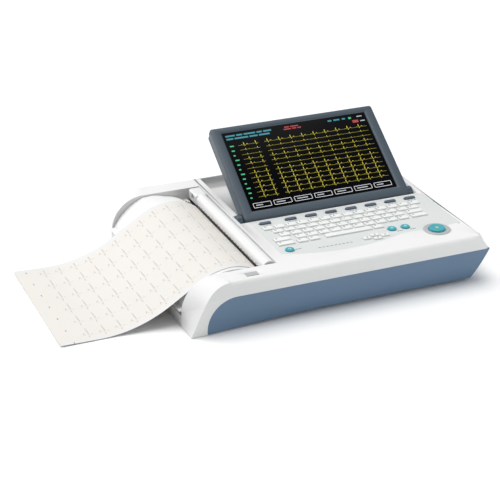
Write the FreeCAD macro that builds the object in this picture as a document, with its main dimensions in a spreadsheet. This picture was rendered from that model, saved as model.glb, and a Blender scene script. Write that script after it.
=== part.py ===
import FreeCAD, Part
import Sketcher
import math
import os

# Electrocardiograph with a raised colour display, a keyboard and a wide chart recorder.
# Millimetres. X runs right along the front edge from the left end of the casing, Y runs to
# the rear from the front edge, Z runs up from the table. Every piece is then moved as a whole
# so that the origin lies under the middle of the machine and its paper, on the table.

SIZES = {
    # casing
    "deck_height": 64,
    "parting_height": 46,
    "right_deck": 16,
    "rear_deck": 9.8,
    "deck_wall": 4,
    "casing_wall": 3,
    "floor_gap": 0.6,
    "ground_gap": 4,
    "shell_gap": 0.2,
    "skirt_lean": 5,
    "end_lean": 10,
    "tub_lean": 7,
    "tub_end_lean": 22,
    "tub_bulge": 130,
    "corner_round": 7,
    "foot_side": 16,
    "foot_inset": 30,
    "boss_side": 6,
    "boss_inset": 6,
    "vent_start": 30,
    "vent_pitch": 9,
    "vent_width": 3,
    "vent_length": 40,
    "vent_inset": 50,
    "field_margin": 12,
    # arms beside the recorder
    "arm_width": 34,
    "arm_outer_round": 44,
    "arm_outer_centre": 60,
    "arm_outer_lean": 25,
    "arm_inner_round": 45,
    "arm_inner_centre": 48,
    "arm_inner_foot": 2,
    "nose_round": 40,
    "nose_left": 24,
    "sill_height": 15,
    "sill_thickness": 8,
    "sill_inset": 1,
    "toe_length": 18,
    # recorder lid and paper
    "lid_gap": 0.6,
    "lid_wall": 3,
    "lid_centre_x": 72.5,
    "lid_centre_drop": 9.1,
    "lid_round": 74.4,
    "lid_crest_x": 49,
    "lid_end_gap": 1.5,
    "lid_right_height": 49.5,
    "lid_left_height": 21.1,
    "cheek_thickness": 3,
    "cheek_bottom": 22,
    "cheek_left": 22,
    "cheek_reach": 5.5,
    "flange_width": 26,
    "flange_reach": 4.5,
    "flange_thickness": 2,
    "runner_top_gap": 0.3,
    "runner_height": 6,
    "runner_overhang": 1,
    "runner_leg": 8,
    "runner_leg_inset": 12,
    "paper_width": 216,
    "paper_thickness": 0.6,
    "paper_lift": 0.5,
    "paper_slot_out": 4.5,
    "paper_hump_round": 61.4,
    "paper_leave_angle": 32.6,
    "paper_floor_round": 175,
    "paper_reach": 151,
    "paper_skew": 12,
    "pack_height": 19,
    "pack_length": 142,
    "pack_gap": 0.6,
    "fold_groove": 0.6,
    "tray_wall": 1.4,
    "tray_left": 15,
    "tray_height": 23,
    "guide_width": 3,
    "guide_drop": 4,
    # print unit
    "platen_x": 106.5,
    "platen_z": 43,
    "platen_radius": 7,
    "shaft_radius": 2.5,
    "running_gap": 0.05,
    "bush_radius": 4.5,
    "gear_module": 1,
    "platen_teeth": 16,
    "pinion_teeth": 8,
    "mesh_gap": 0.3,
    "mesh_angle": 45,
    "gear_width": 6,
    "gear_inset": 4.4,
    "motor_side": 20,
    "motor_drop": 4,
    "motor_length": 18,
    "motor_shaft_radius": 2,
    "shaft_grip": 10,
    "head_gap": 0.4,
    "head_thickness": 3,
    "head_height": 15,
    "carrier_thickness": 4,
    "carrier_drop": 1,
    "frame_plate": 2,
    "frame_bottom": 38,
    "leg_gap": 3.6,
    "spring_strip": 0.8,
    "spring_bow": 7.1,
    "spring_span": 44,
    "spring_foot": 6,
    "spring_width": 5,
    "bar_gap": 2.8,
    "bar_width": 17.2,
    "bar_bottom": 52,
    "bar_front_gap": 2.4,
    "bar_end_gap": 6,
    "bar_rise": 2.5,
    "bar_block": 26,
    "bar_block_drop": 2,
    "bar_block_rise": 1,
    "bar_hole_radius": 4.5,
    "bar_hole_depth": 5,
    "blade_thickness": 1,
    "blade_height": 4,
    "tooth_depth": 1.2,
    # lid release on the front arm
    "release_gap": 41,
    "release_width": 16,
    "release_depth": 9,
    "release_pocket": 7,
    "release_travel": 2,
    "release_proud": 0.7,
    # display
    "display_width": 245.6,
    "display_height": 150.6,
    "display_tilt": 34,
    "display_set_back": 3.3,
    "display_rise": 1,
    "display_round": 7,
    "bezel_depth": 8,
    "bezel_chamfer": 1.2,
    "back_depth": 14,
    "back_taper": 6,
    "bezel_side": 14.5,
    "bezel_bottom": 13.5,
    "bezel_top": 9.5,
    "screen_sink": 1.6,
    "lcd_thickness": 4,
    "display_wall": 2.5,
    "display_board_inset": 30,
    "display_board_rise": 3,
    "chip_height": 2.5,
    "pivot_up": 8,
    "pivot_in": 11,
    "pin_radius": 3,
    "pin_grip": 12,
    "pin_end_gap": 0.5,
    "post_width": 7,
    "post_radius": 8,
    "post_gap": 0.5,
    "well_left": 4,
    "well_side": 8.3,
    "well_rim": 3,
    "well_depth": 18.8,
    "well_gap": 2,
    # keyboard
    "divider_width": 16,
    "panel_side": 19.5,
    "panel_rear_margin": 5.3,
    "panel_front_left": 54,
    "panel_front_right": 51,
    "bulge_depth": 16,
    "bulge_end_gap": 45,
    "panel_thickness": 2,
    "panel_sink": 0.2,
    "panel_gap": 0.3,
    "panel_ledge": 2.5,
    "key_margin": 15,
    "key_gap": 0.4,
    "key_height": 2.2,
    "key_travel": 1.2,
    "key_depth": 9.4,
    "key_width": 13.4,
    "key_pitch": 16.6,
    "key_flange": 0.9,
    "flange_height": 1.2,
    "row_pitch": 12.5,
    "bottom_row_y": 80,
    "wide_key_width": 22,
    "wide_key_shift": 3,
    "space_width": 66,
    "space_gap": 10,
    "arrow_gap": 84,
    "arrow_y": 53.5,
    "arrow_width": 11,
    "arrow_depth": 6.4,
    "arrow_space": 2,
    "pill_width": 17,
    "pill_depth": 6,
    "pill_gap": 8.5,
    "pill_first": 18,
    "pill_second": 55,
    "pill_last": 24.4,
    "round_key_radius": 6,
    "patient_key_x": 14.5,
    "patient_key_y": 7,
    "mode_key_gap": 35,
    "copy_key_gap": 54,
    "copy_key_rise": 23,
    "mode_key_rise": 22,
    "start_gap": 39,
    "start_y": 44,
    "start_radius": 11,
    "ring_radius": 16.5,
    "ring_lip": 1.5,
    "ring_proud": 1.2,
    "mat_thickness": 2,
    "mat_ridge": 4,
    "mat_inset": 14,
    "board_thickness": 1.6,
    # electronics
    "board_rise": 5,
    "battery_gap": 20,
    "battery_length": 96,
    "battery_width": 66,
    "battery_height": 30,
    "door_margin": 6,
    "door_gap": 0.4,
    "ridge_pitch": 4,
    "ridge_width": 1.6,
    "ridge_length": 24,
    "ridge_depth": 0.8,
    "supply_side_gap": 8,
    "supply_rear_gap": 12,
    "supply_length": 92,
    "supply_width": 84,
    "supply_height": 28,
    "transformer_length": 40,
    "transformer_width": 36,
    "capacitor_radius": 9,
    "main_gap": 8,
    "main_length": 205,
    "main_width": 88,
    "main_chip_height": 3,
    "module_gap": 10,
    "module_length": 56,
    "module_width": 60,
    "module_height": 24,
    # sockets
    "socket_z": 23,
    "port_gap": 0.2,
    "inlet_x": 330,
    "inlet_width": 28,
    "inlet_height": 20,
    "inlet_depth": 18,
    "inlet_flange": 5,
    "inlet_plate": 2,
    "inlet_wall": 2,
    "inlet_floor": 4,
    "blade_spread": 7,
    "blade_rise": 2.5,
    "blade_width": 2,
    "blade_tall": 4.5,
    "fuse_gap": 14,
    "fuse_rise": 8,
    "fuse_side": 10,
    "fuse_depth": 14,
    "fuse_head": 13,
    "fuse_plate": 4,
    "fuse_slot": 1.4,
    "earth_gap": 22,
    "earth_radius": 3,
    "earth_nut": 1.8,
    "earth_grip": 6,
    "earth_reach": 6.9,
    "patient_width": 40,
    "patient_height": 12.5,
    "patient_depth": 8,
    "patient_plate": 1.5,
    "patient_flange": 4,
    "patient_shell": 6,
    "patient_shell_tall": 8,
    "contact_pitch": 2.8,
    "contact_row": 3,
    "contact_hole": 1.1,
    "patient_y": 78,
    "port_y": 126,
    "port_height": 14,
    "port_depth": 14,
    "port_hollow": 10,
    "port_wall": 0.8,
    "network_width": 16,
    "network_gap": 18,
    "memory_width": 7,
    "memory_pitch": 12,
}

NUMBER_KEYS = 14
UPPER_KEYS = 13
MIDDLE_KEYS = 11
LOWER_KEYS = 10
FUNCTION_KEYS = 8
VENTS = 10
DOOR_RIDGES = 6
FOLDS = 6
FINS = 16
BLADE_TEETH = 24
CONTACTS = 8

# Starts of the letter rows and places of some keys, in key pitches from the first number key
UPPER_START = 0.5
MIDDLE_START = 0.75
LOWER_START = 1.8
LAST_KEY = 12.2
SPACE_PLACE = 5.54

# Chips of a circuit board: place along and across it and side, as shares of its length, width, length
CHIPS = [(-0.3, -0.1, 0.14), (-0.05, 0.16, 0.09), (0.12, -0.18, 0.11), (0.3, 0.11, 0.07)]

doc = FreeCAD.newDocument("ecg_machine")
sheet = doc.addObject("Spreadsheet::Sheet", "Sizes")
for row, (name, value) in enumerate(SIZES.items(), 1):
    sheet.set(f"A{row}", name)
    sheet.set(f"B{row}", str(value))
    sheet.setAlias(f"B{row}", name)
doc.recompute()


class Size:
    """A number together with the sheet expression that it comes from."""

    def __init__(self, value, text=None):
        self.value = float(value)
        self.text = text or f"{self.value:.6f}"

    def __add__(self, other):
        other = as_size(other)
        return Size(self.value + other.value, f"({self.text} + {other.text})")

    def __sub__(self, other):
        other = as_size(other)
        return Size(self.value - other.value, f"({self.text} - {other.text})")

    def __mul__(self, other):
        other = as_size(other)
        return Size(self.value * other.value, f"({self.text} * {other.text})")

    def __truediv__(self, other):
        other = as_size(other)
        return Size(self.value / other.value, f"({self.text} / {other.text})")

    def __neg__(self):
        return Size(-self.value, f"(0 - {self.text})")

    def __radd__(self, other):
        return as_size(other) + self

    def __rsub__(self, other):
        return as_size(other) - self

    def __rmul__(self, other):
        return as_size(other) * self

    def __rtruediv__(self, other):
        return as_size(other) / self


def as_size(thing):
    return thing if isinstance(thing, Size) else Size(thing)


def root(size):
    return Size(math.sqrt(size.value), f"sqrt({size.text})")


def larger(first, second):
    return Size(max(first.value, second.value), f"max({first.text}; {second.text})")


def sine(angle):
    return Size(math.sin(math.radians(angle.value)), f"sin({angle.text} * 1 deg)")


def cosine(angle):
    return Size(math.cos(math.radians(angle.value)), f"cos({angle.text} * 1 deg)")


def get(name):
    return Size(sheet.get(name), f"Sizes.{name}")


def bind(thing, path, size):
    thing.setExpression(path, as_size(size).text)


pieces = []
deck = get("deck_height")
parting = get("parting_height")
margin = Size(2)

# Along X from the left end: platen, paper slot, bar, keyboard and display well, right deck
platen = (get("platen_x"), get("platen_z"))
slot_x = platen[0] + get("paper_slot_out")
bar_left = slot_x + get("bar_gap")
arm_root = bar_left + get("bar_width")
recess_left = arm_root + get("well_left")
display_left = recess_left + get("well_side")
display_right = display_left + get("display_width")
recess_right = display_right + get("well_side")
panel_left = arm_root + get("divider_width")
key_pitch = get("key_pitch")
key_width = get("key_width")
first_key_x = panel_left + get("key_margin")
row_length = (NUMBER_KEYS - 1) * key_pitch
panel_right = first_key_x + row_length + key_width / 2 + get("panel_side")
start = (panel_right - get("start_gap"), get("start_y"))
width = larger(panel_right, recess_right + get("well_left")) + get("right_deck")

# Along Y from the front edge: rows of keys, function keys, display well, rear deck
row_pitch = get("row_pitch")
key_depth = get("key_depth")
bottom_row = get("bottom_row_y")
first_row = bottom_row + 4 * row_pitch
pill_y = first_row + key_depth / 2 + get("pill_gap") + get("pill_depth") / 2
panel_rear = pill_y + get("pill_depth") / 2 + get("panel_rear_margin")
recess_front = panel_rear + get("well_rim")
tilt = get("display_tilt")
pivot_up = get("pivot_up")
pivot_in = get("pivot_in")
pivot_y = recess_front + get("display_set_back") + pivot_up * cosine(tilt) + pivot_in * sine(tilt)
pivot_z = deck + get("display_rise") + pivot_up * sine(tilt) - pivot_in * cosine(tilt)
recess_rear = pivot_y + get("display_height") - pivot_up + get("well_gap")
recess_floor = deck - get("well_depth")
depth = recess_rear + get("rear_deck")

centre_x = (width - get("paper_reach")) / 2
centre_y = depth / 2


def move(thing, place):
    """Put an object's own origin at a place of the machine."""
    for axis, spot, shift in zip("xyz", place, (centre_x, centre_y, Size(0))):
        bind(thing, f"Placement.Base.{axis}", as_size(spot) - shift)


def piece(label, place=(0, 0, 0)):
    """A new body that is one piece of the machine."""
    body = doc.addObject("PartDesign::Body", label)
    body.Label = label
    body.AllowCompound = True
    move(body, place)
    pieces.append(body)
    return body


NORMAL_SIGN = {"XY": 1, "XZ": -1, "YZ": 1}


def new_sketch(body, plane, at):
    """An empty sketch on one of the body's own planes, moved to a place along the normal."""
    sketch = body.newObject("Sketcher::SketchObject", "Sketch")
    role = f"{plane}_Plane"
    support = next(item for item in body.Origin.OriginFeatures if item.Role == role)
    sketch.AttachmentSupport = [(support, "")]
    sketch.MapMode = "FlatFace"
    bind(sketch, "AttachmentOffset.Base.z", as_size(at) * NORMAL_SIGN[plane])
    return sketch


def arc_side(start, finish, radius):
    """An arc of under a half circle; a positive radius turns anticlockwise."""
    chord = finish - start
    rise = math.sqrt(radius * radius - chord.Length ** 2 / 4)
    left = FreeCAD.Vector(-chord.y, chord.x, 0).normalize()
    middle = (start + finish) / 2 + left * math.copysign(rise, radius)
    ends = (start, finish) if radius > 0 else (finish, start)
    angles = [math.atan2(spot.y - middle.y, spot.x - middle.x) for spot in ends]
    circle = Part.Circle(middle, FreeCAD.Vector(0, 0, 1), abs(radius))
    return Part.ArcOfCircle(circle, *angles)


class Drawing:
    """Lines, arcs and dimensions that go into a sketch together."""

    def __init__(self):
        self.sides = []
        self.rules = []
        self.dimensions = []

    def rule(self, kind, *where):
        self.rules.append(Sketcher.Constraint(kind, *where))

    def dimension(self, kind, *where, size):
        size = as_size(size)
        self.dimensions.append((len(self.rules), size))
        self.rules.append(Sketcher.Constraint(kind, *where, size.value))

    def outline(self, corners):
        """A closed outline. A corner with a third value is reached by an arc of that radius."""
        first = len(self.sides)
        corners = [tuple(as_size(value) for value in corner) for corner in corners]
        spots = [FreeCAD.Vector(corner[0].value, corner[1].value, 0) for corner in corners]
        ends = []
        for index, corner in enumerate(corners):
            start, finish = spots[index - 1], spots[index]
            forward = True
            if len(corner) == 2:
                self.sides.append(Part.LineSegment(start, finish))
            else:
                radius = corner[2]
                forward = radius.value > 0
                self.sides.append(arc_side(start, finish, radius.value))
                self.dimension("Radius", first + index, size=radius if forward else -radius)
            ends.append((1, 2) if forward else (2, 1))
        for index, corner in enumerate(corners):
            geo, end = first + index, ends[index][1]
            after = (index + 1) % len(corners)
            self.rule("Coincident", geo, end, first + after, ends[after][0])
            before = corners[index - 1]
            straight = len(corner) == 2
            if straight and corner[0].text == before[0].text:
                self.rule("Vertical", geo)
            else:
                self.dimension("DistanceX", -1, 1, geo, end, size=corner[0])
            if straight and corner[1].text == before[1].text:
                self.rule("Horizontal", geo)
            else:
                self.dimension("DistanceY", -1, 1, geo, end, size=corner[1])

    def circle(self, x, y, radius):
        x, y, radius = as_size(x), as_size(y), as_size(radius)
        middle = FreeCAD.Vector(x.value, y.value, 0)
        geo = len(self.sides)
        self.sides.append(Part.Circle(middle, FreeCAD.Vector(0, 0, 1), radius.value))
        self.dimension("Radius", geo, size=radius)
        self.dimension("DistanceX", -1, 1, geo, 3, size=x)
        self.dimension("DistanceY", -1, 1, geo, 3, size=y)

    def put_in(self, sketch):
        sketch.addGeometry(self.sides, False)
        sketch.addConstraint(self.rules)
        for index, size in self.dimensions:
            bind(sketch, f"Constraints[{index}]", size)


def box(left, right, low, high):
    return [(right, low), (right, high), (left, high), (left, low)]


def slab(x, y, wide, deep):
    """A rectangle about its middle."""
    return box(x - wide / 2, x + wide / 2, y - deep / 2, y + deep / 2)


def rounded(left, right, low, high, radius):
    """A rectangle whose corners are arcs."""
    return [(right, low + radius, radius), (right, high - radius), (right - radius, high, radius),
            (left + radius, high), (left, high - radius, radius), (left, low + radius),
            (left + radius, low, radius), (right - radius, low)]


def clipped(left, right, low, high, corner):
    """A rectangle whose corners are cut off."""
    return [(right, low + corner), (right, high - corner), (right - corner, high), (left + corner, high),
            (left, high - corner), (left, low + corner), (left + corner, low), (right - corner, low)]


def shape(body, kind, plane, at, length, outlines, circles=()):
    """Extrude outlines and circles in the positive direction from a place on an axis."""
    sketch = new_sketch(body, plane, at)
    drawing = Drawing()
    for corners in outlines:
        drawing.outline(corners)
    for spot in circles:
        drawing.circle(*spot)
    drawing.put_in(sketch)
    feature = body.newObject(f"PartDesign::{kind}", kind)
    feature.Profile = sketch
    feature.Reversed = (kind == "Pad") == (NORMAL_SIGN[plane] < 0)
    bind(feature, "Length", length)
    body.Tip = feature
    return feature


def add(body, plane, at, length, *outlines, circles=()):
    return shape(body, "Pad", plane, at, length, outlines, circles)


def cut(body, plane, at, length, *outlines, circles=()):
    return shape(body, "Pocket", plane, at, length, outlines, circles)


def loft(body, plane, sections):
    """A straight-sided loft through outlines that have the same number of sides."""
    sketches = []
    for at, corners in sections:
        sketch = new_sketch(body, plane, at)
        drawing = Drawing()
        drawing.outline(corners)
        drawing.put_in(sketch)
        sketches.append(sketch)
    feature = body.newObject("PartDesign::AdditiveLoft", "Loft")
    feature.Profile = sketches[0]
    feature.Sections = sketches[1:]
    feature.Ruled = True
    body.Tip = feature
    return feature


SOFTENED = {"Fillet": "Radius", "Chamfer": "Size"}


def soften(body, kind, size, wanted):
    """Round or bevel the edges whose middle point passes a test."""
    doc.recompute()
    base = body.Tip
    names = []
    for number, edge in enumerate(base.Shape.Edges, 1):
        first, last = edge.ParameterRange
        if wanted(edge.valueAt((first + last) / 2), edge):
            names.append(f"Edge{number}")
    feature = body.newObject(f"PartDesign::{kind}", kind)
    feature.Base = (base, names)
    bind(feature, SOFTENED[kind], size)
    body.Tip = feature


# Casing

deck_wall = get("deck_wall")
wall = get("casing_wall")
arm = get("arm_width")
floor_gap = get("floor_gap")
nose_round = get("nose_round")
nose_left = get("nose_left")
nose_x = nose_left + nose_round
lean = get("skirt_lean")
end_lean = get("end_lean")
tub_floor = get("ground_gap") + wall


def arm_outline(centre, radius, foot, shoulder):
    """Side view of an arm: a band that turns down over the nose of the lower casing."""
    return [(foot, floor_gap), (shoulder[0], shoulder[1]), (centre, deck, -radius),
            (arm_root, deck), (arm_root, parting), (nose_x, parting),
            (nose_left, parting - nose_round, nose_round), (nose_left, floor_gap)]


def panel_outline(grow):
    """Keyboard panel seen from above, with a front edge that swells towards the user."""
    left = panel_left - grow
    right = panel_right + grow
    end = start[0] - get("bulge_end_gap")
    swell = get("bulge_depth")
    chord = (end - panel_left) / 2
    bulge = (chord * chord + swell * swell) / (2 * swell)
    front = get("panel_front_right") - grow
    return [(left, get("panel_front_left") - grow), (end, front, bulge + grow), (right, front),
            (right, panel_rear + grow), (left, panel_rear + grow)]


def upper_casing():
    body = piece("upper_casing")
    outer_radius = get("arm_outer_round")
    outer_centre = get("arm_outer_centre")
    slope = get("arm_outer_lean")
    shoulder_x = outer_centre - outer_radius * cosine(slope)
    shoulder_z = deck - outer_radius + outer_radius * sine(slope)
    outer_foot = shoulder_x - (shoulder_z - floor_gap) * sine(slope) / cosine(slope)
    outer = arm_outline(outer_centre, outer_radius, outer_foot, (shoulder_x, shoulder_z))
    inner_radius = get("arm_inner_round")
    inner_centre = get("arm_inner_centre")
    inner_side = (inner_centre - inner_radius, deck - inner_radius)
    inner = arm_outline(inner_centre, inner_radius, get("arm_inner_foot"), inner_side)
    add(body, "XZ", 0, depth, [(arm_root, parting), (width, parting), (width - end_lean, deck),
                               (arm_root, deck)])
    loft(body, "XZ", [(0, outer), (arm, inner)])
    loft(body, "XZ", [(depth - arm, inner), (depth, outer)])
    sill_left = get("arm_inner_foot") + get("sill_inset")
    add(body, "XY", floor_gap, get("sill_height") - floor_gap,
        box(sill_left, sill_left + get("sill_thickness"), arm - margin, depth - arm + margin))
    # lean of the front and rear skirts
    top = deck + margin
    front = [(-margin, parting), (0, parting), (lean, deck), (lean, top), (-margin, top)]
    rear = [(depth - u, v) for u, v in front]
    cut(body, "YZ", -margin, width + 2 * margin, front, rear)
    corner_x = width.value - end_lean.value - margin.value
    soften(body, "Fillet", get("corner_round"),
           lambda spot, edge: edge.BoundBox.ZLength > deck_wall.value and spot.x > corner_x)
    # hollow under the deck, with the well that the display folds into
    cut(body, "XY", parting - margin, deck - deck_wall - parting + margin,
        box(arm_root + wall, width - end_lean - wall, lean + wall, depth - lean - wall))
    add(body, "XY", recess_floor - wall, deck - recess_floor + wall - deck_wall / 2,
        box(recess_left - wall, recess_right + wall, recess_front - wall, recess_rear + wall))
    cut(body, "XY", recess_floor, deck - recess_floor + margin,
        box(recess_left, recess_right, recess_front, recess_rear))
    # rebate and opening for the keyboard
    rebate = deck - get("panel_sink") - get("panel_thickness")
    gap = get("panel_gap")
    ledge = get("panel_ledge")
    cut(body, "XY", rebate, deck - rebate + margin, panel_outline(gap))
    cut(body, "XY", rebate, deck - rebate + margin,
        circles=[(*start, get("ring_radius") + ledge + gap)])
    cut(body, "XY", deck - deck_wall - margin, deck_wall + margin, panel_outline(-ledge))
    cut(body, "XY", deck - deck_wall - margin, deck_wall + margin, circles=[(*start, get("ring_radius"))])
    # posts that carry the keyboard circuit board
    low = board_top()
    boss = get("boss_side")
    add(body, "XY", low, deck - deck_wall / 2 - low, *[slab(*spot, boss, boss) for spot in board_posts()])
    # pocket of the lid release
    side = 2 * get("key_gap")
    cut(body, "XY", deck - get("release_pocket"), get("release_pocket") + margin,
        slab(*release_spot(), get("release_width") + side, get("release_depth") + side))
    return body


def release_spot():
    return (arm_root - get("release_gap"), arm / 2)


def mat_top():
    low = deck - get("panel_sink") - get("panel_thickness") - get("flange_height")
    return low - get("key_travel") - get("key_gap")


def board_top():
    return mat_top() - get("mat_thickness")


def board_posts():
    boss = get("boss_side")
    front = lean + wall + 1.5 * boss
    left = recess_left + wall + boss / 2
    return [(left, front), (space_x, front), (panel_right - get("panel_ledge"), front),
            (left, recess_front - wall - 1.5 * boss)]


def door_outline(grow):
    x, y = battery_spot()
    return slab(x, y, get("battery_length") + 2 * get("door_margin") + 2 * grow,
                get("battery_width") + 2 * get("door_margin") + 2 * grow)


def tray_right():
    return get("tray_left") + get("pack_length") + 2 * (get("tray_wall") + get("pack_gap"))


def battery_spot():
    return (tray_right() + get("battery_gap") + get("battery_length") / 2, depth / 4)


def main_spot():
    return (tray_right() + get("main_gap") + get("main_length") / 2, depth / 2)


def main_posts():
    x, y = main_spot()
    reach_x = get("main_length") / 2 - get("boss_inset")
    reach_y = get("main_width") / 2 - get("boss_inset")
    return [(x + i * reach_x, y + j * reach_y) for i in (-1, 1) for j in (-1, 1)]


inner_right = width - get("tub_end_lean") - wall
inner_front = get("tub_lean") + wall
socket_z = get("socket_z")
rear_panel = depth - get("tub_lean")
side_panel = width - get("tub_end_lean")


def fuse_spots():
    x = get("inlet_x") - get("inlet_width") / 2 - get("fuse_gap")
    return [(x, socket_z - get("fuse_rise")), (x, socket_z + get("fuse_rise"))]


def earth_spot():
    return (get("inlet_x") + get("inlet_width") / 2 + get("earth_gap"), socket_z)


def ports():
    """Middle and width along Y of the network socket and the two memory sockets."""
    network = get("port_y")
    memory = network + get("network_gap")
    wide = get("memory_width")
    return [(network, get("network_width")), (memory, wide), (memory + get("memory_pitch"), wide)]


def foot_spots():
    inset = get("foot_inset")
    right = width - get("tub_end_lean") - inset + margin
    return [(x, y) for x in (nose_x + inset / 2, right) for y in (inset, depth - inset)]


def lower_casing():
    body = piece("lower_casing")
    gap = get("shell_gap")
    ground = get("ground_gap")
    toe = nose_left + get("toe_length")
    add(body, "XZ", 0, depth,
        [(nose_left + gap, floor_gap), (toe, floor_gap), (toe + get("toe_length"), ground),
         (width - get("tub_end_lean"), ground), (width, parting), (nose_x, parting - gap / 2),
         (nose_left + gap, parting - nose_round, nose_round - gap)])
    # undercut front and rear, slightly swollen
    inset = get("tub_lean")
    front = [(0, parting), (inset, ground, get("tub_bulge")), (inset, -margin), (-margin, -margin),
             (-margin, parting)]
    cut(body, "YZ", -margin, width + 2 * margin, front)
    rear = [(depth, parting), (depth - inset, ground, -get("tub_bulge")), (depth - inset, -margin),
            (depth + margin, -margin), (depth + margin, parting)]
    cut(body, "YZ", -margin, width + 2 * margin, rear)
    # inside
    cut(body, "XY", tub_floor, parting, box(nose_left + wall, inner_right, inner_front, depth - inner_front))
    cut(body, "XY", tub_floor, nose_round,
        box(nose_left - margin, nose_left + 2 * wall, arm, depth - arm))
    # room for the display well of the upper casing
    well_low = recess_floor - wall - gap
    cut(body, "XY", well_low, parting - well_low + margin,
        box(recess_left - wall - gap, recess_right + wall + gap, recess_front - wall - gap,
            recess_rear + wall + gap))
    # flat fields for the sockets at the rear and at the right end
    around = get("field_margin")
    tall = get("inlet_height") / 2 + get("inlet_flange")
    rear_field = box(fuse_spots()[0][0] - around, earth_spot()[0] + around, socket_z - tall, socket_z + tall)
    cut(body, "XZ", rear_panel, inset + margin, rear_field)
    side_field = box(get("patient_y") - get("patient_width") / 2 - around, ports()[-1][0] + around,
                     socket_z - around, socket_z + around)
    cut(body, "YZ", side_panel, get("tub_end_lean") + margin, side_field)
    fuse = get("fuse_side")
    cut(body, "XZ", rear_panel - 2 * wall, 3 * wall,
        slab(get("inlet_x"), socket_z, get("inlet_width"), get("inlet_height")),
        *[slab(*spot, fuse, fuse) for spot in fuse_spots()])
    cut(body, "XZ", rear_panel - 2 * wall, 3 * wall, circles=[(*earth_spot(), get("earth_radius"))])
    cut(body, "YZ", side_panel - 2 * wall, 3 * wall,
        slab(get("patient_y"), socket_z, get("patient_width"), get("patient_height")),
        *[slab(at, socket_z, wide, get("port_height")) for at, wide in ports()])
    # battery opening, vents and posts in the floor
    cut(body, "XY", ground - margin, wall + 2 * margin, door_outline(Size(0)))
    vent_x = tray_right() + get("vent_start")
    vents = [slab(vent_x + get("vent_pitch") * index, depth - get("vent_inset"), get("vent_width"),
                  get("vent_length")) for index in range(VENTS)]
    cut(body, "XY", ground - margin, wall + 2 * margin, *vents)
    boss = get("boss_side")
    add(body, "XY", tub_floor - wall / 2, get("board_rise") + wall / 2,
        *[slab(*spot, boss, boss) for spot in main_posts()])
    return body


def rubber_feet():
    body = piece("rubber_feet")
    side = get("foot_side")
    add(body, "XY", 0, get("ground_gap"), *[slab(*spot, side, side) for spot in foot_spots()])
    return body


def battery_door():
    body = piece("battery_door")
    ground = get("ground_gap")
    add(body, "XY", ground, wall, door_outline(-get("door_gap")))
    x, y = battery_spot()
    first = x - get("battery_length") / 2
    ridges = [slab(first + get("ridge_pitch") * index, y, get("ridge_width"), get("ridge_length"))
              for index in range(DOOR_RIDGES)]
    cut(body, "XY", ground - margin, margin + get("ridge_depth"), *ridges)
    return body


# Recorder

lid_front = arm + get("lid_gap")
lid_rear = depth - arm - get("lid_gap")
lid_centre = (get("lid_centre_x"), -get("lid_centre_drop"))
lid_right = platen[0] - get("platen_radius") - get("lid_end_gap")
cheek_right = platen[0] + get("cheek_reach")
rise_left = get("lid_left_height") + get("lid_centre_drop")
lid_left = lid_centre[0] - root(get("lid_round") * get("lid_round") - rise_left * rise_left)
tray_front = lid_front + get("cheek_thickness") + get("runner_overhang")
tray_rear = depth - tray_front
paper_front = tray_front + get("tray_wall") + get("pack_gap")


def on_arc(centre, radius, x):
    """Height of an arc above a place along X."""
    reach = x - centre[0]
    return centre[1] + root(radius * radius - reach * reach)


def lid_band(thickness):
    """Side view of the lid's skin: from the slot to the crest, then round to the left end."""
    lid_round = get("lid_round")
    inner = lid_round - thickness
    crest = get("lid_crest_x")
    slot = get("lid_right_height")
    edge = lid_left + thickness
    return [(lid_right, slot), (crest, on_arc(lid_centre, lid_round, crest)),
            (lid_left, get("lid_left_height"), lid_round), (edge, on_arc(lid_centre, inner, edge)),
            (crest, on_arc(lid_centre, inner, crest), -inner), (lid_right, slot - thickness)]


def recorder_lid():
    body = piece("recorder_lid")
    lid_wall = get("lid_wall")
    add(body, "XZ", lid_front, lid_rear - lid_front, lid_band(lid_wall))
    # cheeks that carry the platen and run beside the paper tray
    left = get("cheek_left")
    low = get("cheek_bottom")
    crest = get("lid_crest_x")
    inner = get("lid_round") - lid_wall / 2
    cheek = [(left, low), (cheek_right, low),
             (cheek_right, platen[1] + get("bush_radius") + get("lid_end_gap")),
             (lid_right, get("lid_right_height") - lid_wall / 2), (crest, on_arc(lid_centre, inner, crest)),
             (left, on_arc(lid_centre, inner, left), inner)]
    thick = get("cheek_thickness")
    add(body, "XZ", lid_front, thick, cheek)
    add(body, "XZ", lid_rear - thick, thick, cheek)
    bore = [(*platen, get("bush_radius"))]
    cut(body, "XZ", lid_front - margin, thick + 2 * margin, circles=bore)
    cut(body, "XZ", lid_rear - thick - margin, thick + 2 * margin, circles=bore)
    # finger flanges at the two lower corners
    foot = get("lid_left_height")
    thin = get("flange_thickness")
    out = lid_left - get("flange_reach")
    root_x = lid_left + lid_wall
    flange = [(out, foot), (root_x, foot - thin / 2), (root_x, foot + 1.5 * thin), (out, foot + thin)]
    span = get("flange_width")
    add(body, "XZ", lid_front, span, flange)
    add(body, "XZ", lid_rear - span, span, flange)
    return body


def lid_runners():
    """Two bars beside the paper tray that the lid's cheeks slide on."""
    body = piece("lid_runners")
    top = get("cheek_bottom") - get("runner_top_gap")
    low = top - get("runner_height")
    broad = get("cheek_thickness") + get("runner_overhang")
    leg = get("runner_leg") / 2
    inset = get("runner_leg_inset")
    for front in (lid_front, lid_rear - broad):
        back = front + broad
        add(body, "XY", low, get("runner_height"), box(get("tray_left"), cheek_right, front, back))
        for x in (nose_left + inset, cheek_right - inset):
            add(body, "XY", tub_floor, low - tub_floor, box(x - leg, x + leg, front, back))
    return body


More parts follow.
